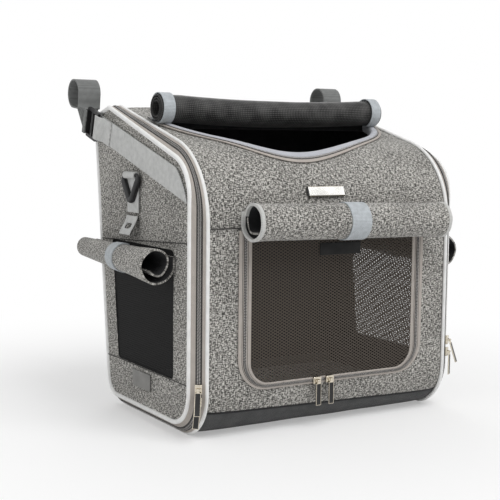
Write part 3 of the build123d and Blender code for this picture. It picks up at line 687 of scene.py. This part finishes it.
zip_profile = [(0.0012, 0), (0.0036, 0.0004), (0.0046, 0.0002), (0.0050, 0.0004), (0.0060, 0.0011),
               (0.0068, 0.0014), (0.0072, 0.0006), (0.0075, 0.0006), (0.0079, 0.0014), (0.0089, 0.0011),
               (0.0098, 0.0004), (0.0102, 0.0002), (0.0112, 0.0004), (0.0150, 0)]
side_zip = gusset_strip("side_zip_right_tape", -6, peak_point, zip_profile)
paint_rows(side_zip, len(zip_profile) - 1, (4, 5, 7, 8), (2, 3, 6, 9, 10))
finish_cloth(side_zip, 0.003, zip_cloths, "bag", "zip_tape", "side_zip_right")
other_side(side_zip, "side_zip_left_tape", "zip_tape", "side_zip_left")


# Piping: a thin cord in white cloth, sewn into the two seams of each side, one at
# the corner and one round the side panel.
def satin_cord(name, colour):
    material, tree, shader = cloth_nodes(name, 0.55, 0.1)
    patchy = mottle(tree, coordinates(tree, "Object"), 120)
    low = tuple(channel * 0.9 for channel in colour)
    dye(tree, shader, patchy, (0.3, low), (0.7, colour))
    raise_surface(tree, shader, patchy, 0.0006)
    return material


def cord_along(name, points, radius, facets, closed, swell=None):
    """A round cord through points, thicker or thinner where swell says so."""
    bpy.ops.curve.primitive_bezier_circle_add()
    cord = bpy.context.object
    cord.name = name
    cord.data.splines.clear()
    spline = cord.data.splines.new("POLY")
    spline.points.add(len(points) - 1)
    spline.use_cyclic_u = closed
    for index, (point, spot) in enumerate(zip(spline.points, points)):
        point.co = (*spot, 1)
        if swell:
            point.radius = swell[index]
    cord.data.bevel_depth = radius
    cord.data.bevel_resolution = facets
    bpy.ops.object.convert(target="MESH")
    return bpy.context.object


white_cord = satin_cord("white_piping", (0.86, 0.86, 0.85))
for seam, x, share, radius in (("corner", 0.170, 0, 0.0022), ("side", 0.1848, 1, 0.0028)):
    for side, way in (("right", 1), ("left", -1)):
        node = f"{seam}_piping_{side}"
        line = [(way * x, spot.x, max(spot.y, radius)) for spot in side_view(0.0012, share)]
        cord = cord_along(node + "_cord", line, radius, 3, closed=True)
        finish_cloth(cord, 0, [white_cord], "bag", "white_piping", node)

# Side panels: heather cloth over a board, with a black lining and a window cut
# in each. Their edges are sewn to the outer piping.
side_x = 0.186
window_front, window_low, window_high = front_y + 0.053, 0.064, 0.212


def window(inset):
    """The window's outline, seen from the side. Its rear edge leans with the bag."""
    lean_run = math.tan(lean)
    rear = front_y + 0.2435 - 0.050
    corners = [
        Vector((window_front + inset, window_low + inset)),
        Vector((rear + window_low * lean_run - inset, window_low + inset)),
        Vector((rear + window_high * lean_run - inset, window_high - inset)),
        Vector((window_front + inset, window_high - inset)),
    ]
    return rounded(corners, [0.006 - inset] * 4, 8, 20)


side_depth, side_height = 0.290, 0.392


def side_place(u, v):
    y, z = front_y + side_depth * u, side_height * v
    return (side_x + slack(Vector((0.3, y, z)), 0.045, 0.0016), y, z)


panel = cut_sheet("side_panel_right_cloth", 116, 156, side_depth, side_height, side_place)
trim_sheet(panel, side_view(0.0023, 1), seen_from_side, True)
trim_sheet(panel, window(0), seen_from_side, False)
finish_cloth(panel, panel_wall, [heather, black_lining], "bag", "heather_fabric", "side_panel_right",
             inner=1, rim=1)
other_side(panel, "side_panel_left_cloth", "heather_fabric", "side_panel_left")


# Nets: fine black mesh, stretched flat in the door's zip and in the cut edges of
# the side windows.
def net(name, pitch, thread, colour, across=0.0):
    """Threads that cross at 60 degrees with clear holes between them."""
    material, tree, shader = cloth_nodes(name, 0.6, 0.0)
    uv = coordinates(tree, "UV")
    shader.inputs["Specular IOR Level"].default_value = 0.1
    shader.inputs["Base Color"].default_value = (*colour, 1)
    threads = [ribs(tree, uv, pitch, turn=across + math.radians(turn)) for turn in (60, -60)]
    solid = calculate(tree, "GREATER_THAN", calculate(tree, "MAXIMUM", *threads), 1 - thread)
    tree.links.new(solid, shader.inputs["Alpha"])
    return material


door_net_size = (0.2314, 0.1674)
door_net_low = 0.0607
door_edge = doorway(0.97, 0.2281)


def door_place(u, v):
    return ((u - 0.5) * door_net_size[0], front_y - 0.0008, door_net_low + door_net_size[1] * v)


door_net_cloth = net("door_net", 0.0030, 0.40, (0.075, 0.064, 0.054))
door_sheet = cut_sheet("door_net_sheet", 60, 44, *door_net_size, door_place)
trim_sheet(door_sheet, door_edge, seen_from_front, True)
finish_cloth(door_sheet, 0, [door_net_cloth], "door", "black_mesh", "door_mesh")

window_net_size = (0.168, 0.148)
window_net_x = 0.184
window_corner = Vector((window_front, window_low))
window_edge = window(0.0001)


def window_place(u, v):
    return (window_net_x, window_corner.x + window_net_size[0] * u, window_corner.y + window_net_size[1] * v)


window_net_cloth = net("window_net", 0.0026, 0.58, (0.008, 0.008, 0.008), math.radians(90))
window_sheet = cut_sheet("window_net_right", 42, 37, *window_net_size, window_place)
trim_sheet(window_sheet, window_edge, seen_from_side, True)
finish_cloth(window_sheet, 0, [window_net_cloth], "bag", "black_mesh", "window_mesh_right")
twin = other_side(window_sheet, "window_net_left", "black_mesh", "window_mesh_left")


# Door zip: one half of the greige tape, with half of the coil, is sewn to the
# front panel and the other half to the door's net.
def door_strip(name, profile, top, body, node, coil_rows, dark_rows):
    """A strip round the door's U: profile gives the share of its width and how far it stands out."""
    rows = [[(spot.x, front_y - out, spot.y) for spot in doorway(share, top)] for share, out in profile]
    strip = ribbon(name, rows, 0.0045, 0.01, closed=False)
    paint_rows(strip, len(profile) - 1, coil_rows, dark_rows)
    finish_cloth(strip, 0.0012, zip_cloths, body, "zip_tape", node)


outer_profile = [(0, 0.0012), (0.06, 0.0014), (0.26, 0.0014), (0.30, 0.0015), (0.37, 0.0014),
                 (0.40, 0.0022), (0.45, 0.0026), (0.483, 0.0020)]
inner_profile = [(0.517, 0.0020), (0.55, 0.0026), (0.60, 0.0022), (0.63, 0.0014), (0.70, 0.0015),
                 (0.74, 0.0014), (0.94, 0.0014), (1.0, 0.0012)]
door_strip("door_zip_outer_tape", outer_profile, 0.2366, "bag", "door_zip_outer", (5, 6), (2, 4))
door_strip("door_zip_inner_tape", inner_profile, 0.2281, "door", "door_zip_inner", (0, 1), (2, 4))


# Head opening: greige zip tape sewn flat round the rim, with the fixed half of a
# coil along it.
def open_whole(piece):
    """Open a piece in edit mode with all of it selected."""
    pick(piece)
    bpy.ops.object.mode_set(mode="EDIT")
    bpy.ops.mesh.select_all(action="SELECT")


mouth_step = 0.0055
rim_profile = [(0, 0.0012), (0.0008, 0.0014), (0.0030, 0.0014), (0.0036, 0.0021), (0.0056, 0.0021),
               (0.0062, 0.0014), (0.0100, 0.0014), (0.011, 0.0010)]
rim_rows = [[on_top(*spot, proud) for spot in mouth(inset)] for inset, proud in rim_profile]
rim = ribbon("mouth_tape", rim_rows, mouth_step, 0.011)
paint_rows(rim, len(rim_profile) - 1, (3,), (2, 4))
open_whole(rim)
bpy.ops.mesh.remove_doubles(threshold=0.00001)
bpy.ops.object.mode_set(mode="OBJECT")
finish_cloth(rim, 0.0012, zip_cloths, "bag", "zip_tape", "top_zip_tape")

# Collar: a soft padded roll of pale cloth, sewn inside the head opening, and black
# along its rear.
collar_cloth = plain_cloth("pale_collar_cloth", (0.42, 0.43, 0.47), (0.58, 0.59, 0.63), rough=0.9, sheen=0.3)
collar_inset, collar_drop, collar_sides, squareness = 0.0088, 0.0030, 16, 0.7
collar_rows = []
for step in range(collar_sides):
    angle = 2 * math.pi * step / collar_sides
    across = math.copysign(abs(math.cos(angle)) ** squareness, math.cos(angle)) * 0.0046
    up = math.copysign(abs(math.sin(angle)) ** squareness, math.sin(angle)) * 0.0062
    collar_rows.append([on_top(*spot, up - collar_drop) for spot in mouth(collar_inset - across)])
collar = ribbon("mouth_collar", collar_rows + collar_rows[:1], mouth_step, 0.036)
open_whole(collar)
bpy.ops.mesh.remove_doubles(threshold=0.00001)
bpy.ops.mesh.normals_make_consistent(inside=False)
bpy.ops.object.mode_set(mode="OBJECT")
for face in collar.data.polygons:
    face.material_index = 1 if face.center.y > front_y + 0.150 else 0
finish_cloth(collar, 0, [collar_cloth, black_lining], "bag", "collar_cloth", "top_collar")


# Front flap: a sheet of heather cloth with a black lining, sewn above the door and
# rolled up from its free edge. Pale tape binds its ends and a band ties it.
def roll_spot(radius, pitch, start, turn, tail, distance):
    """The place on a roll, a distance along the cloth from its sewn edge, seen from its centre."""
    heading = Vector((-math.sin(start), math.cos(start))) * turn
    if distance < tail:
        return Vector((math.cos(start), math.sin(start))) * radius - heading * (tail - distance)
    angle = (distance - tail) / radius
    for _ in range(3):
        angle = (distance - tail) / (radius - pitch * angle / (4 * math.pi))
    reach = radius - pitch * angle / (2 * math.pi)
    at = start + turn * angle
    return Vector((math.cos(at), math.sin(at))) * reach


def roll_length(radius, pitch, turns, tail):
    return tail + 2 * math.pi * turns * (radius - pitch * turns / 2)


flap_radius, flap_pitch, flap_turns, flap_tail = 0.0238, 0.0066, 1.3, 0.009
flap_centre = Vector((front_y - 0.0242, 0.2468))
flap_tilt = 0.016
flap_total = roll_length(flap_radius, flap_pitch, flap_turns, flap_tail)


def flap_place(first_x, last_x, proud):
    """Where the roll's cloth lies between two places across the bag, with its creases."""
    def place(u, v):
        x = first_x + (last_x - first_x) * u
        spot = roll_spot(flap_radius + proud, flap_pitch, 0, -1, flap_tail, flap_total * v)
        end = max(0.0, abs(x - 0.005) - 0.100) / 0.034
        angle = math.atan2(spot.y, spot.x)
        crease = noise.noise(Vector((x * 16, math.cos(angle) * 1.3, math.sin(angle) * 1.3)))
        crumple = noise.noise(Vector((x * 40, v * 16, 4.0))) * end * v
        spot *= 1 + 0.030 * crease + 0.035 * end ** 2 + 0.10 * crumple
        spot.y -= flap_tilt * x
        spot += flap_centre
        return (x, min(spot.x, front_y - 0.0002), spot.y)
    return place


flap = cut_sheet("front_flap_cloth", 90, 130, 0.260, flap_total, flap_place(-0.1252, 0.1350, 0))
finish_cloth(flap, 0.0024, [heather, black_lining], "bag", "heather_fabric", "front_flap_roll", inner=1)


def webbing(name, dark, light, kind="UV"):
    """Flat woven strap: fine slanting ribs in rows along its length."""
    material, tree, shader = cloth_nodes(name, 0.75, 0.1)
    source = coordinates(tree, kind)
    slanting = ribs(tree, source, 0.0011, turn=math.radians(35))
    row = ribs(tree, source, 0.0016, turn=math.radians(90))
    rib = weigh(tree, (slanting, 0.6), (row, 0.4))
    shade = weigh(tree, (rib, 0.6), (mottle(tree, source, 150), 0.4))
    dye(tree, shader, shade, (0.25, dark), (0.75, light))
    raise_surface(tree, shader, rib, 0.0005)
    return material


pale_webbing = webbing("pale_webbing", (0.29, 0.31, 0.325), (0.60, 0.64, 0.67))
edge_tape = webbing("pale_edge_tape", (0.46, 0.46, 0.45), (0.66, 0.66, 0.64))
edge_share = 0.80
for index, (first_x, last_x) in enumerate(((-0.129, -0.1250), (0.1348, 0.139))):
    edge_place = flap_place(first_x, last_x, 0.0003)
    band = cut_sheet(f"front_flap_edge_{index + 1}", 4, 100, 0.0042, flap_total * edge_share,
                     lambda u, v: edge_place(u, v * edge_share))
    replaced = ("front_flap_binding",) if index == 0 else ()
    finish_cloth(band, 0.0030, [edge_tape], "bag", "light_webbing", *replaced)

tie_start, tie_length = 0.011, 0.140
tie_place = flap_place(-0.009, 0.018, 0.0015)
tie = cut_sheet("front_flap_band", 8, 90, 0.027, tie_length,
                lambda u, v: tie_place(u, (tie_start + tie_length * v) / flap_total))
finish_cloth(tie, 0.0012, [pale_webbing], "bag", "light_webbing", "front_flap_tie")

# Head cover: black net sewn along the rear of the head opening, rolled back and
# tied with a loop of webbing at each end. It sags in the middle.
cover_radius, cover_pitch, cover_turns, cover_tail = 0.0175, 0.0030, 2.6, 0.019
cover_lift = cover_radius + 0.0017
cover_run = 0.142
cover_centre = Vector((front_y + cover_run - math.sin(slope) * cover_lift,
                       brow + cover_run * math.tan(slope) + math.cos(slope) * cover_lift))
cover_total = roll_length(cover_radius, cover_pitch, cover_turns, cover_tail)


def cover_place(u, v):
    x = (u * 2 - 1) * 0.162 - 0.004
    crease = noise.noise(Vector((x * 18, v * 3, 8.0)))
    spot = roll_spot(cover_radius - 0.0002, cover_pitch, slope - math.pi / 2, -1, cover_tail, cover_total * v)
    if cover_total * v > cover_tail:
        spot *= 1 + 0.025 * min(crease, 0.3)
    sag = 0.004 * max(0.0, 1 - (x / 0.135) ** 2) * min(1.0, v * 12)
    spot *= 1 - 0.05 * max(0.0, x / 0.158)
    return (x, cover_centre.x + spot.x, cover_centre.y + spot.y - sag)


def cover_tie_place(first_x, last_x):
    """A loop round the roll, open where the roll lies on the cover."""
    def place(u, v):
        angle = slope - math.radians(97 + 330 * v)
        spot = cover_centre + Vector((math.cos(angle), math.sin(angle))) * (cover_radius + 0.001)
        return (first_x + (last_x - first_x) * u, spot.x, spot.y)
    return place


rolled_net = plain_cloth("black_rolled_net", (0.002, 0.002, 0.002), (0.11, 0.108, 0.105),
                         rib=0.0024, rough=0.5)
cover = cut_sheet("head_cover_roll", 80, 170, 0.324, cover_total, cover_place)
finish_cloth(cover, 0.0013, [rolled_net], "bag", "black_mesh", "top_mesh_roll")
for index, (first_x, last_x) in enumerate(((-0.164, -0.149), (0.141, 0.155))):
    band = cut_sheet(f"head_cover_tie_{index + 1}", 6, 64, 0.014, 0.10, cover_tie_place(first_x, last_x))
    replaced = ("top_roll_ties",) if index == 0 else ()
    finish_cloth(band, 0.0011, [pale_webbing], "bag", "light_webbing", *replaced)

# Side flaps: heather cloth with a black lining, sewn above each window and rolled
# up to a cone that is wider in front, tied near the middle with webbing.
side_flap_width = 0.214
side_front_radius, side_rear_radius = 0.0232, 0.0165
side_pitch, side_turns, side_tail = 0.0080, 1.38, 0.008
side_total = roll_length(side_front_radius - 0.0002, side_pitch, side_turns, side_tail)


def side_roll_place(u, v, proud=0.0):
    y = front_y + 0.048 + side_flap_width * u
    radius = side_front_radius + (side_rear_radius - side_front_radius) * u
    distance = roll_length(radius, side_pitch, side_turns, side_tail) * v
    end = max(0.0, 0.25 - u) / 0.25
    spot = roll_spot(radius - 0.0002 + proud, side_pitch, math.pi, 1, side_tail, distance)
    crease = noise.noise(Vector((y * 17, v * 5, 1.7)))
    crumple = noise.noise(Vector((y * 9, v * 9, 6.1)))
    spot *= 1 + 0.030 * crease + (0.04 * end + 0.16 * end * crumple * v)
    spot += Vector((side_x + 0.0003 + radius, 0.197 + 0.003 * u))
    return (max(spot.x, side_x + 0.0003), y, spot.y)


def side_band_place(u, v):
    return side_roll_place((0.0885 + 0.021 * u) / side_flap_width, 0.07 + 0.68 * v, 0.0015)


side_roll = cut_sheet("side_flap_right_cloth", 80, 110, side_flap_width, side_total, side_roll_place)
finish_cloth(side_roll, 0.0022, [heather, black_lining], "bag", "heather_fabric", "side_flap_right", inner=1)
twin = other_side(side_roll, "side_flap_left_cloth", "heather_fabric", "side_flap_left")
side_band = cut_sheet("side_flap_band_right", 6, 64, 0.022, 0.13, side_band_place)
finish_cloth(side_band, 0.0012, [pale_webbing], "bag", "light_webbing", "side_flap_ties")
other_side(side_band, "side_flap_band_left", "light_webbing")


# Seams: a dark sunk thread where two panels meet above and below each window. Above the door the dark line is
# painted shadow along the seam between the front panel and the top cover, made from the same dark cloth.
def seam_and_shadow_line(name, points, radius):
    cord = cord_along(name, points, radius, 2, closed=False)
    finish_cloth(cord, 0, [stitch_and_shadow_line], "bag", "heather_fabric")


# Painted shadow: a dark line along the front seam, where the edge of the top cover shades the front panel.
front_shadow_points = [(x, front_y - 0.0002, seam_height + 0.0002) for x in np.linspace(-0.167, 0.167, 60)]
seam_and_shadow_line("front_seam_shadow", front_shadow_points, 0.0007)
for side, side_name in ((-1, "left"), (1, "right")):
    face_x = side * (side_x + 0.0001)
    upper = [(face_x, front_y + run, 0.2235 - 0.054 * run) for run in np.linspace(0.016, 0.250, 50)]
    lower = [(face_x, front_y + run, 0.0635) for run in np.linspace(0.016, 0.231, 50)]
    seam_and_shadow_line(f"side_seam_upper_{side_name}", upper, 0.0005)
    seam_and_shadow_line(f"side_seam_lower_{side_name}", lower, 0.0005)


# Straps and patches: webbing straps and tabs sewn flat to the sides, loops of grey
# webbing for the grip, and hook patches. They keep the outline of their solids.
def sewn_copy(node, name, material, body, slot, soften=0.0004):
    """A node's solid as a sewn piece, with soft edges and a woven face."""
    piece = loose_copy(nodes[node], name)
    piece.data.materials.clear()
    open_whole(piece)
    bpy.ops.mesh.remove_doubles(threshold=0.000005)
    bpy.ops.mesh.dissolve_limited(angle_limit=math.radians(1))
    bpy.ops.object.mode_set(mode="OBJECT")
    if soften:
        edge = piece.modifiers.new("soft_edge", "BEVEL")
        edge.width = soften
        edge.segments = 2
        edge.limit_method = "ANGLE"
        edge.angle_limit = math.radians(40)
        bpy.ops.object.modifier_apply(modifier=edge.name)
    return finish_cloth(piece, 0, [material], body, slot, node)


strap_webbing = webbing("pale_webbing_sides", (0.36, 0.365, 0.36), (0.70, 0.705, 0.69), "Object")
loop_webbing = webbing("grey_webbing_loops", (0.13, 0.135, 0.132), (0.23, 0.235, 0.232), "Object")
black_patch = plain_cloth("black_hook_patch", (0.006, 0.006, 0.006), (0.035, 0.035, 0.035),
                          "Object", 0.0014, 0.95)
grey_patch = plain_cloth("grey_hook_patch", (0.20, 0.198, 0.19), (0.33, 0.325, 0.31),
                         "Object", 0.0014, 0.95)
for node, material, slot in (
        ("side_strap_left", strap_webbing, "light_webbing"),
        ("side_strap_right", strap_webbing, "light_webbing"),
        ("d_ring_tabs", strap_webbing, "light_webbing"),
        ("handlebar_strap_left", loop_webbing, "grey_webbing"),
        ("handlebar_strap_right", loop_webbing, "grey_webbing"),
        ("side_patches", grey_patch, "heather_fabric")):
    sewn_copy(node, node + "_cloth", material, "bag", slot)
sewn_copy("door_patch", "door_patch_cloth", black_patch, "door", "flap_lining", 0.0002)

# Side tabs: slotted tabs of pale webbing with a black back, sewn to the side above
# the roll and bent away from it.
tab_bend = [(0.0004, 0.2445), (0.0012, 0.2420), (0.0030, 0.2375), (0.0058, 0.2325), (0.0090, 0.2275),
            (0.0112, 0.2228)]
tab_width, tab_length = 0.029, 0.025
slot_front, slot_rear, slot_low, slot_high = front_y + 0.1470, front_y + 0.1630, 0.2296, 0.2364


def tab_place(lift):
    def place(u, v):
        run = v * (len(tab_bend) - 1)
        step = min(int(run), len(tab_bend) - 2)
        out, z = Vector(tab_bend[step]).lerp(Vector(tab_bend[step + 1]), run - step)
        return (side_x + out + lift, front_y + 0.1405 + tab_width * u, z)
    return place


tab_slot = rounded([(slot_front, slot_low), (slot_rear, slot_low), (slot_rear, slot_high),
                    (slot_front, slot_high)], [0.0032] * 4, 8, 8)
for layer, lift, wall, cloth, slot, *replaced in (
        ("side_tab_face", 0.0020, 0.0013, strap_webbing, "light_webbing", "side_tabs"),
        ("side_tab_back", 0.0010, 0.0009, black_lining, "flap_lining")):
    tab = cut_sheet(layer + "_right", 34, 26, tab_width, tab_length, tab_place(lift))
    trim_sheet(tab, tab_slot, seen_from_side, False)
    finish_cloth(tab, wall, [cloth], "bag", slot, *replaced, offset=1.0)
    other_side(tab, layer + "_left", slot)

# Floor mat: a grey fleece cushion on the base board, higher in the middle than at
# its edge, and lying loose.
fleece = plain_cloth("grey_fleece", (0.30, 0.295, 0.285), (0.46, 0.45, 0.44), "Object", 0.002, 1.0, 0.5)
mat = sewn_copy("floor_mat", "floor_cushion", fleece, "bag", "mat_fleece", 0)


# D-rings: black moulded plastic, with a straight bar held by the webbing tab and a
# round-nosed loop below it.
def hard_finish(name, colour, metal, rough, grain=400, depth=0.00005):
    """Plastic, plated metal or board, worn a little uneven."""
    material = bpy.data.materials.new(name)
    material.use_nodes = True
    tree = material.node_tree
    shader = tree.nodes["Principled BSDF"]
    shader.inputs["Metallic"].default_value = metal
    wear = mottle(tree, coordinates(tree, "Object"), grain, 3.0)
    low = tuple(channel * 0.82 for channel in colour)
    dye(tree, shader, wear, (0.3, low), (0.7, colour))
    roughness = calculate(tree, "ADD", calculate(tree, "MULTIPLY", wear, 0.2), rough - 0.1)
    tree.links.new(roughness, shader.inputs["Roughness"])
    raise_surface(tree, shader, wear, depth)
    return material


black_plastic = hard_finish("moulded_black", (0.007, 0.007, 0.008), 0.0, 0.5)
ring_radius, bar_share = 0.0040, 0.56
ring_x, ring_y, ring_z = 0.19035, front_y + 0.1545, 0.293
ring_corners = [(0.019, 0), (0.019, -0.0065), (0, -0.034), (-0.019, -0.0065), (-0.019, 0)]
ring_line = rounded(ring_corners, [0.003, 0.006, 0.006, 0.006, 0.003], 8, 10)
ring_swell = [bar_share + (1 - bar_share) * min(1.0, max(0.0, -spot.y - 0.002) / 0.006) for spot in ring_line]
for side, ring_name in ((-1, "d_ring_left"), (1, "d_ring_right")):
    line = [(side * ring_x, ring_y + spot.x, ring_z + spot.y) for spot in ring_line]
    ring = cord_along(ring_name + "_moulding", line, ring_radius, 5, closed=True, swell=ring_swell)
    ring.data.materials.clear()
    ring.data.materials.append(black_plastic)
    bpy.ops.object.shade_smooth()
    fix(ring, ring_name, "black_plastic", ring_name)
    bpy.ops.object.select_all(action="DESELECT")

# Name plate: a bare plated bar with bevelled edges, pinned to the shoulder of the
# top cover.
gold = hard_finish("pale_gold_plate", (0.70, 0.64, 0.53), 1.0, 0.2)
silver = hard_finish("satin_silver", (0.93, 0.92, 0.88), 1.0, 0.2, 60, 0.000003)
plate_solid = nodes["name_plate"]
plate_corners = [plate_solid.matrix_world @ Vector(corner) for corner in plate_solid.bound_box]
plate_middle = sum(plate_corners, Vector()) / 8
plate_seat = Vector((plate_middle.y, plate_middle.z))
plate_index = min(range(len(outline)), key=lambda index: (outline[index] - plate_seat).length)
plate_way = (outline[plate_index + 1] - outline[plate_index - 1]).normalized()
plate_turn = math.atan2(plate_way.y, plate_way.x)
plate_out = Vector((math.sin(-plate_turn), math.cos(plate_turn)))
bpy.ops.mesh.primitive_cube_add(size=1)
plate = bpy.context.object
plate.name = "name_plate_bar"
plate.scale = (0.052, 0.0125, 0.0032)
plate.rotation_euler = (plate_turn, 0, 0)
plate.location = (plate_middle.x, *(outline[plate_index] + plate_out * 0.0014))
bpy.ops.object.transform_apply()
bpy.ops.object.modifier_add(type="BEVEL")
plate.modifiers[0].width = 0.0011
plate.modifiers[0].segments = 1
bpy.ops.object.modifier_apply(modifier="Bevel")
for material in (silver, gold, black_plastic):
    plate.data.materials.append(material)
for face in plate.data.polygons:
    end_face = abs(face.normal.x) > 0.4
    face.material_index = 0 if face.area > 0.0003 else 2 if end_face else 1
fix(plate, "bag", "plate_metal", "name_plate")

# Zip pulls: a flat plated tab with a black enamel face let into its rim, hung from
# a pin on its slider by a neck and a knuckle.
enamel = hard_finish("black_enamel", (0.004, 0.004, 0.004), 0.0, 0.4)
pull_width, pull_length, pull_thickness = 0.0070, 0.026, 0.0018
pull_gap = 0.0031


def zip_pull(name, pin, across, out, tilt):
    """A pull at its pin: across is the pin's way, out points away from the bag."""
    bpy.ops.mesh.primitive_cube_add(size=1)
    pull = bpy.context.object
    pull.name = name
    pull.data.name = name
    pull.scale = (pull_width, pull_length, pull_thickness)
    pull.location = (0, -pull_gap - pull_length / 2, 0)
    bpy.ops.object.transform_apply(location=True, rotation=False, scale=True)
    bpy.ops.object.mode_set(mode="EDIT")
    bpy.ops.mesh.select_mode(type="FACE")
    bpy.ops.mesh.select_all(action="DESELECT")
    bpy.ops.object.mode_set(mode="OBJECT")
    for face in pull.data.polygons:
        face.select = abs(face.normal.z) > 0.9
    pull.data.materials.append(gold)
    pull.data.materials.append(enamel)
    bpy.ops.object.mode_set(mode="EDIT")
    bpy.ops.mesh.inset(thickness=0.0006, depth=-0.0003, use_individual=True)
    bpy.ops.object.mode_set(mode="OBJECT")
    for face in pull.data.polygons:
        face.material_index = 1 if face.select else 0
    corner = pull.modifiers.new("corner", "BEVEL")
    corner.width = 0.0005
    corner.segments = 3
    corner.affect = "EDGES"
    corner.limit_method = "ANGLE"
    corner.angle_limit = math.radians(80)
    bpy.ops.object.modifier_apply(modifier=corner.name)
    bpy.ops.mesh.primitive_cylinder_add(vertices=24, radius=0.0016, depth=0.0038,
                                        rotation=(0, math.pi / 2, 0))
    knuckle = bpy.context.object
    bpy.ops.mesh.primitive_cube_add(size=1, location=(0, -0.0022, 0))
    neck = bpy.context.object
    neck.scale = (0.0036, 0.0030, 0.0015)
    for part in (knuckle, neck):
        part.data.materials.append(gold)
        part.select_set(True)
    pull.select_set(True)
    bpy.context.view_layer.objects.active = pull
    bpy.ops.object.join()
    bpy.ops.object.transform_apply(location=True, rotation=True, scale=True)
    swing = Matrix.Rotation(-tilt, 4, "X")
    seat = Matrix.Translation(pin) @ Matrix((across, out.cross(across), out)).transposed().to_4x4()
    pull.data.transform(seat @ swing)
    pick(pull)
    bpy.ops.object.shade_smooth_by_angle(angle=math.radians(35))
    return pull


corner_turn = 0.008 / foot_radius
upper_tilt = math.radians(18)
for joint in frame["joints"]:
    pull_name = joint["child"]
    if "_pull_" not in pull_name:
        continue
    across = -Vector(joint["axis"]).normalized()
    tilt, rise = 0.0, Vector((0, 0, 1))
    if pull_name.startswith("upper"):
        tilt = upper_tilt
    elif pull_name == "lower_pull_left":
        tilt, rise = corner_turn, Vector((0, -math.sin(corner_turn), math.cos(corner_turn)))
    outward = across.cross(rise).normalized()
    dressed = zip_pull(pull_name + "_tab", Vector(joint["pos_m"]), across, outward, tilt)
    fix(dressed, pull_name, "pull_metal", pull_name)

# Buckles, sliders and base board: these keep their solids. The ladder locks are
# black moulded plastic, the sliders are plated, and the board is black.
board = hard_finish("black_board", (0.03, 0.03, 0.03), 0.0, 0.7)
for node, solid in nodes.items():
    for word, finish in (("buckle", black_plastic), ("slider", gold), ("base_board", board)):
        if word in node:
            solid.data.materials.clear()
            solid.data.materials.append(finish)
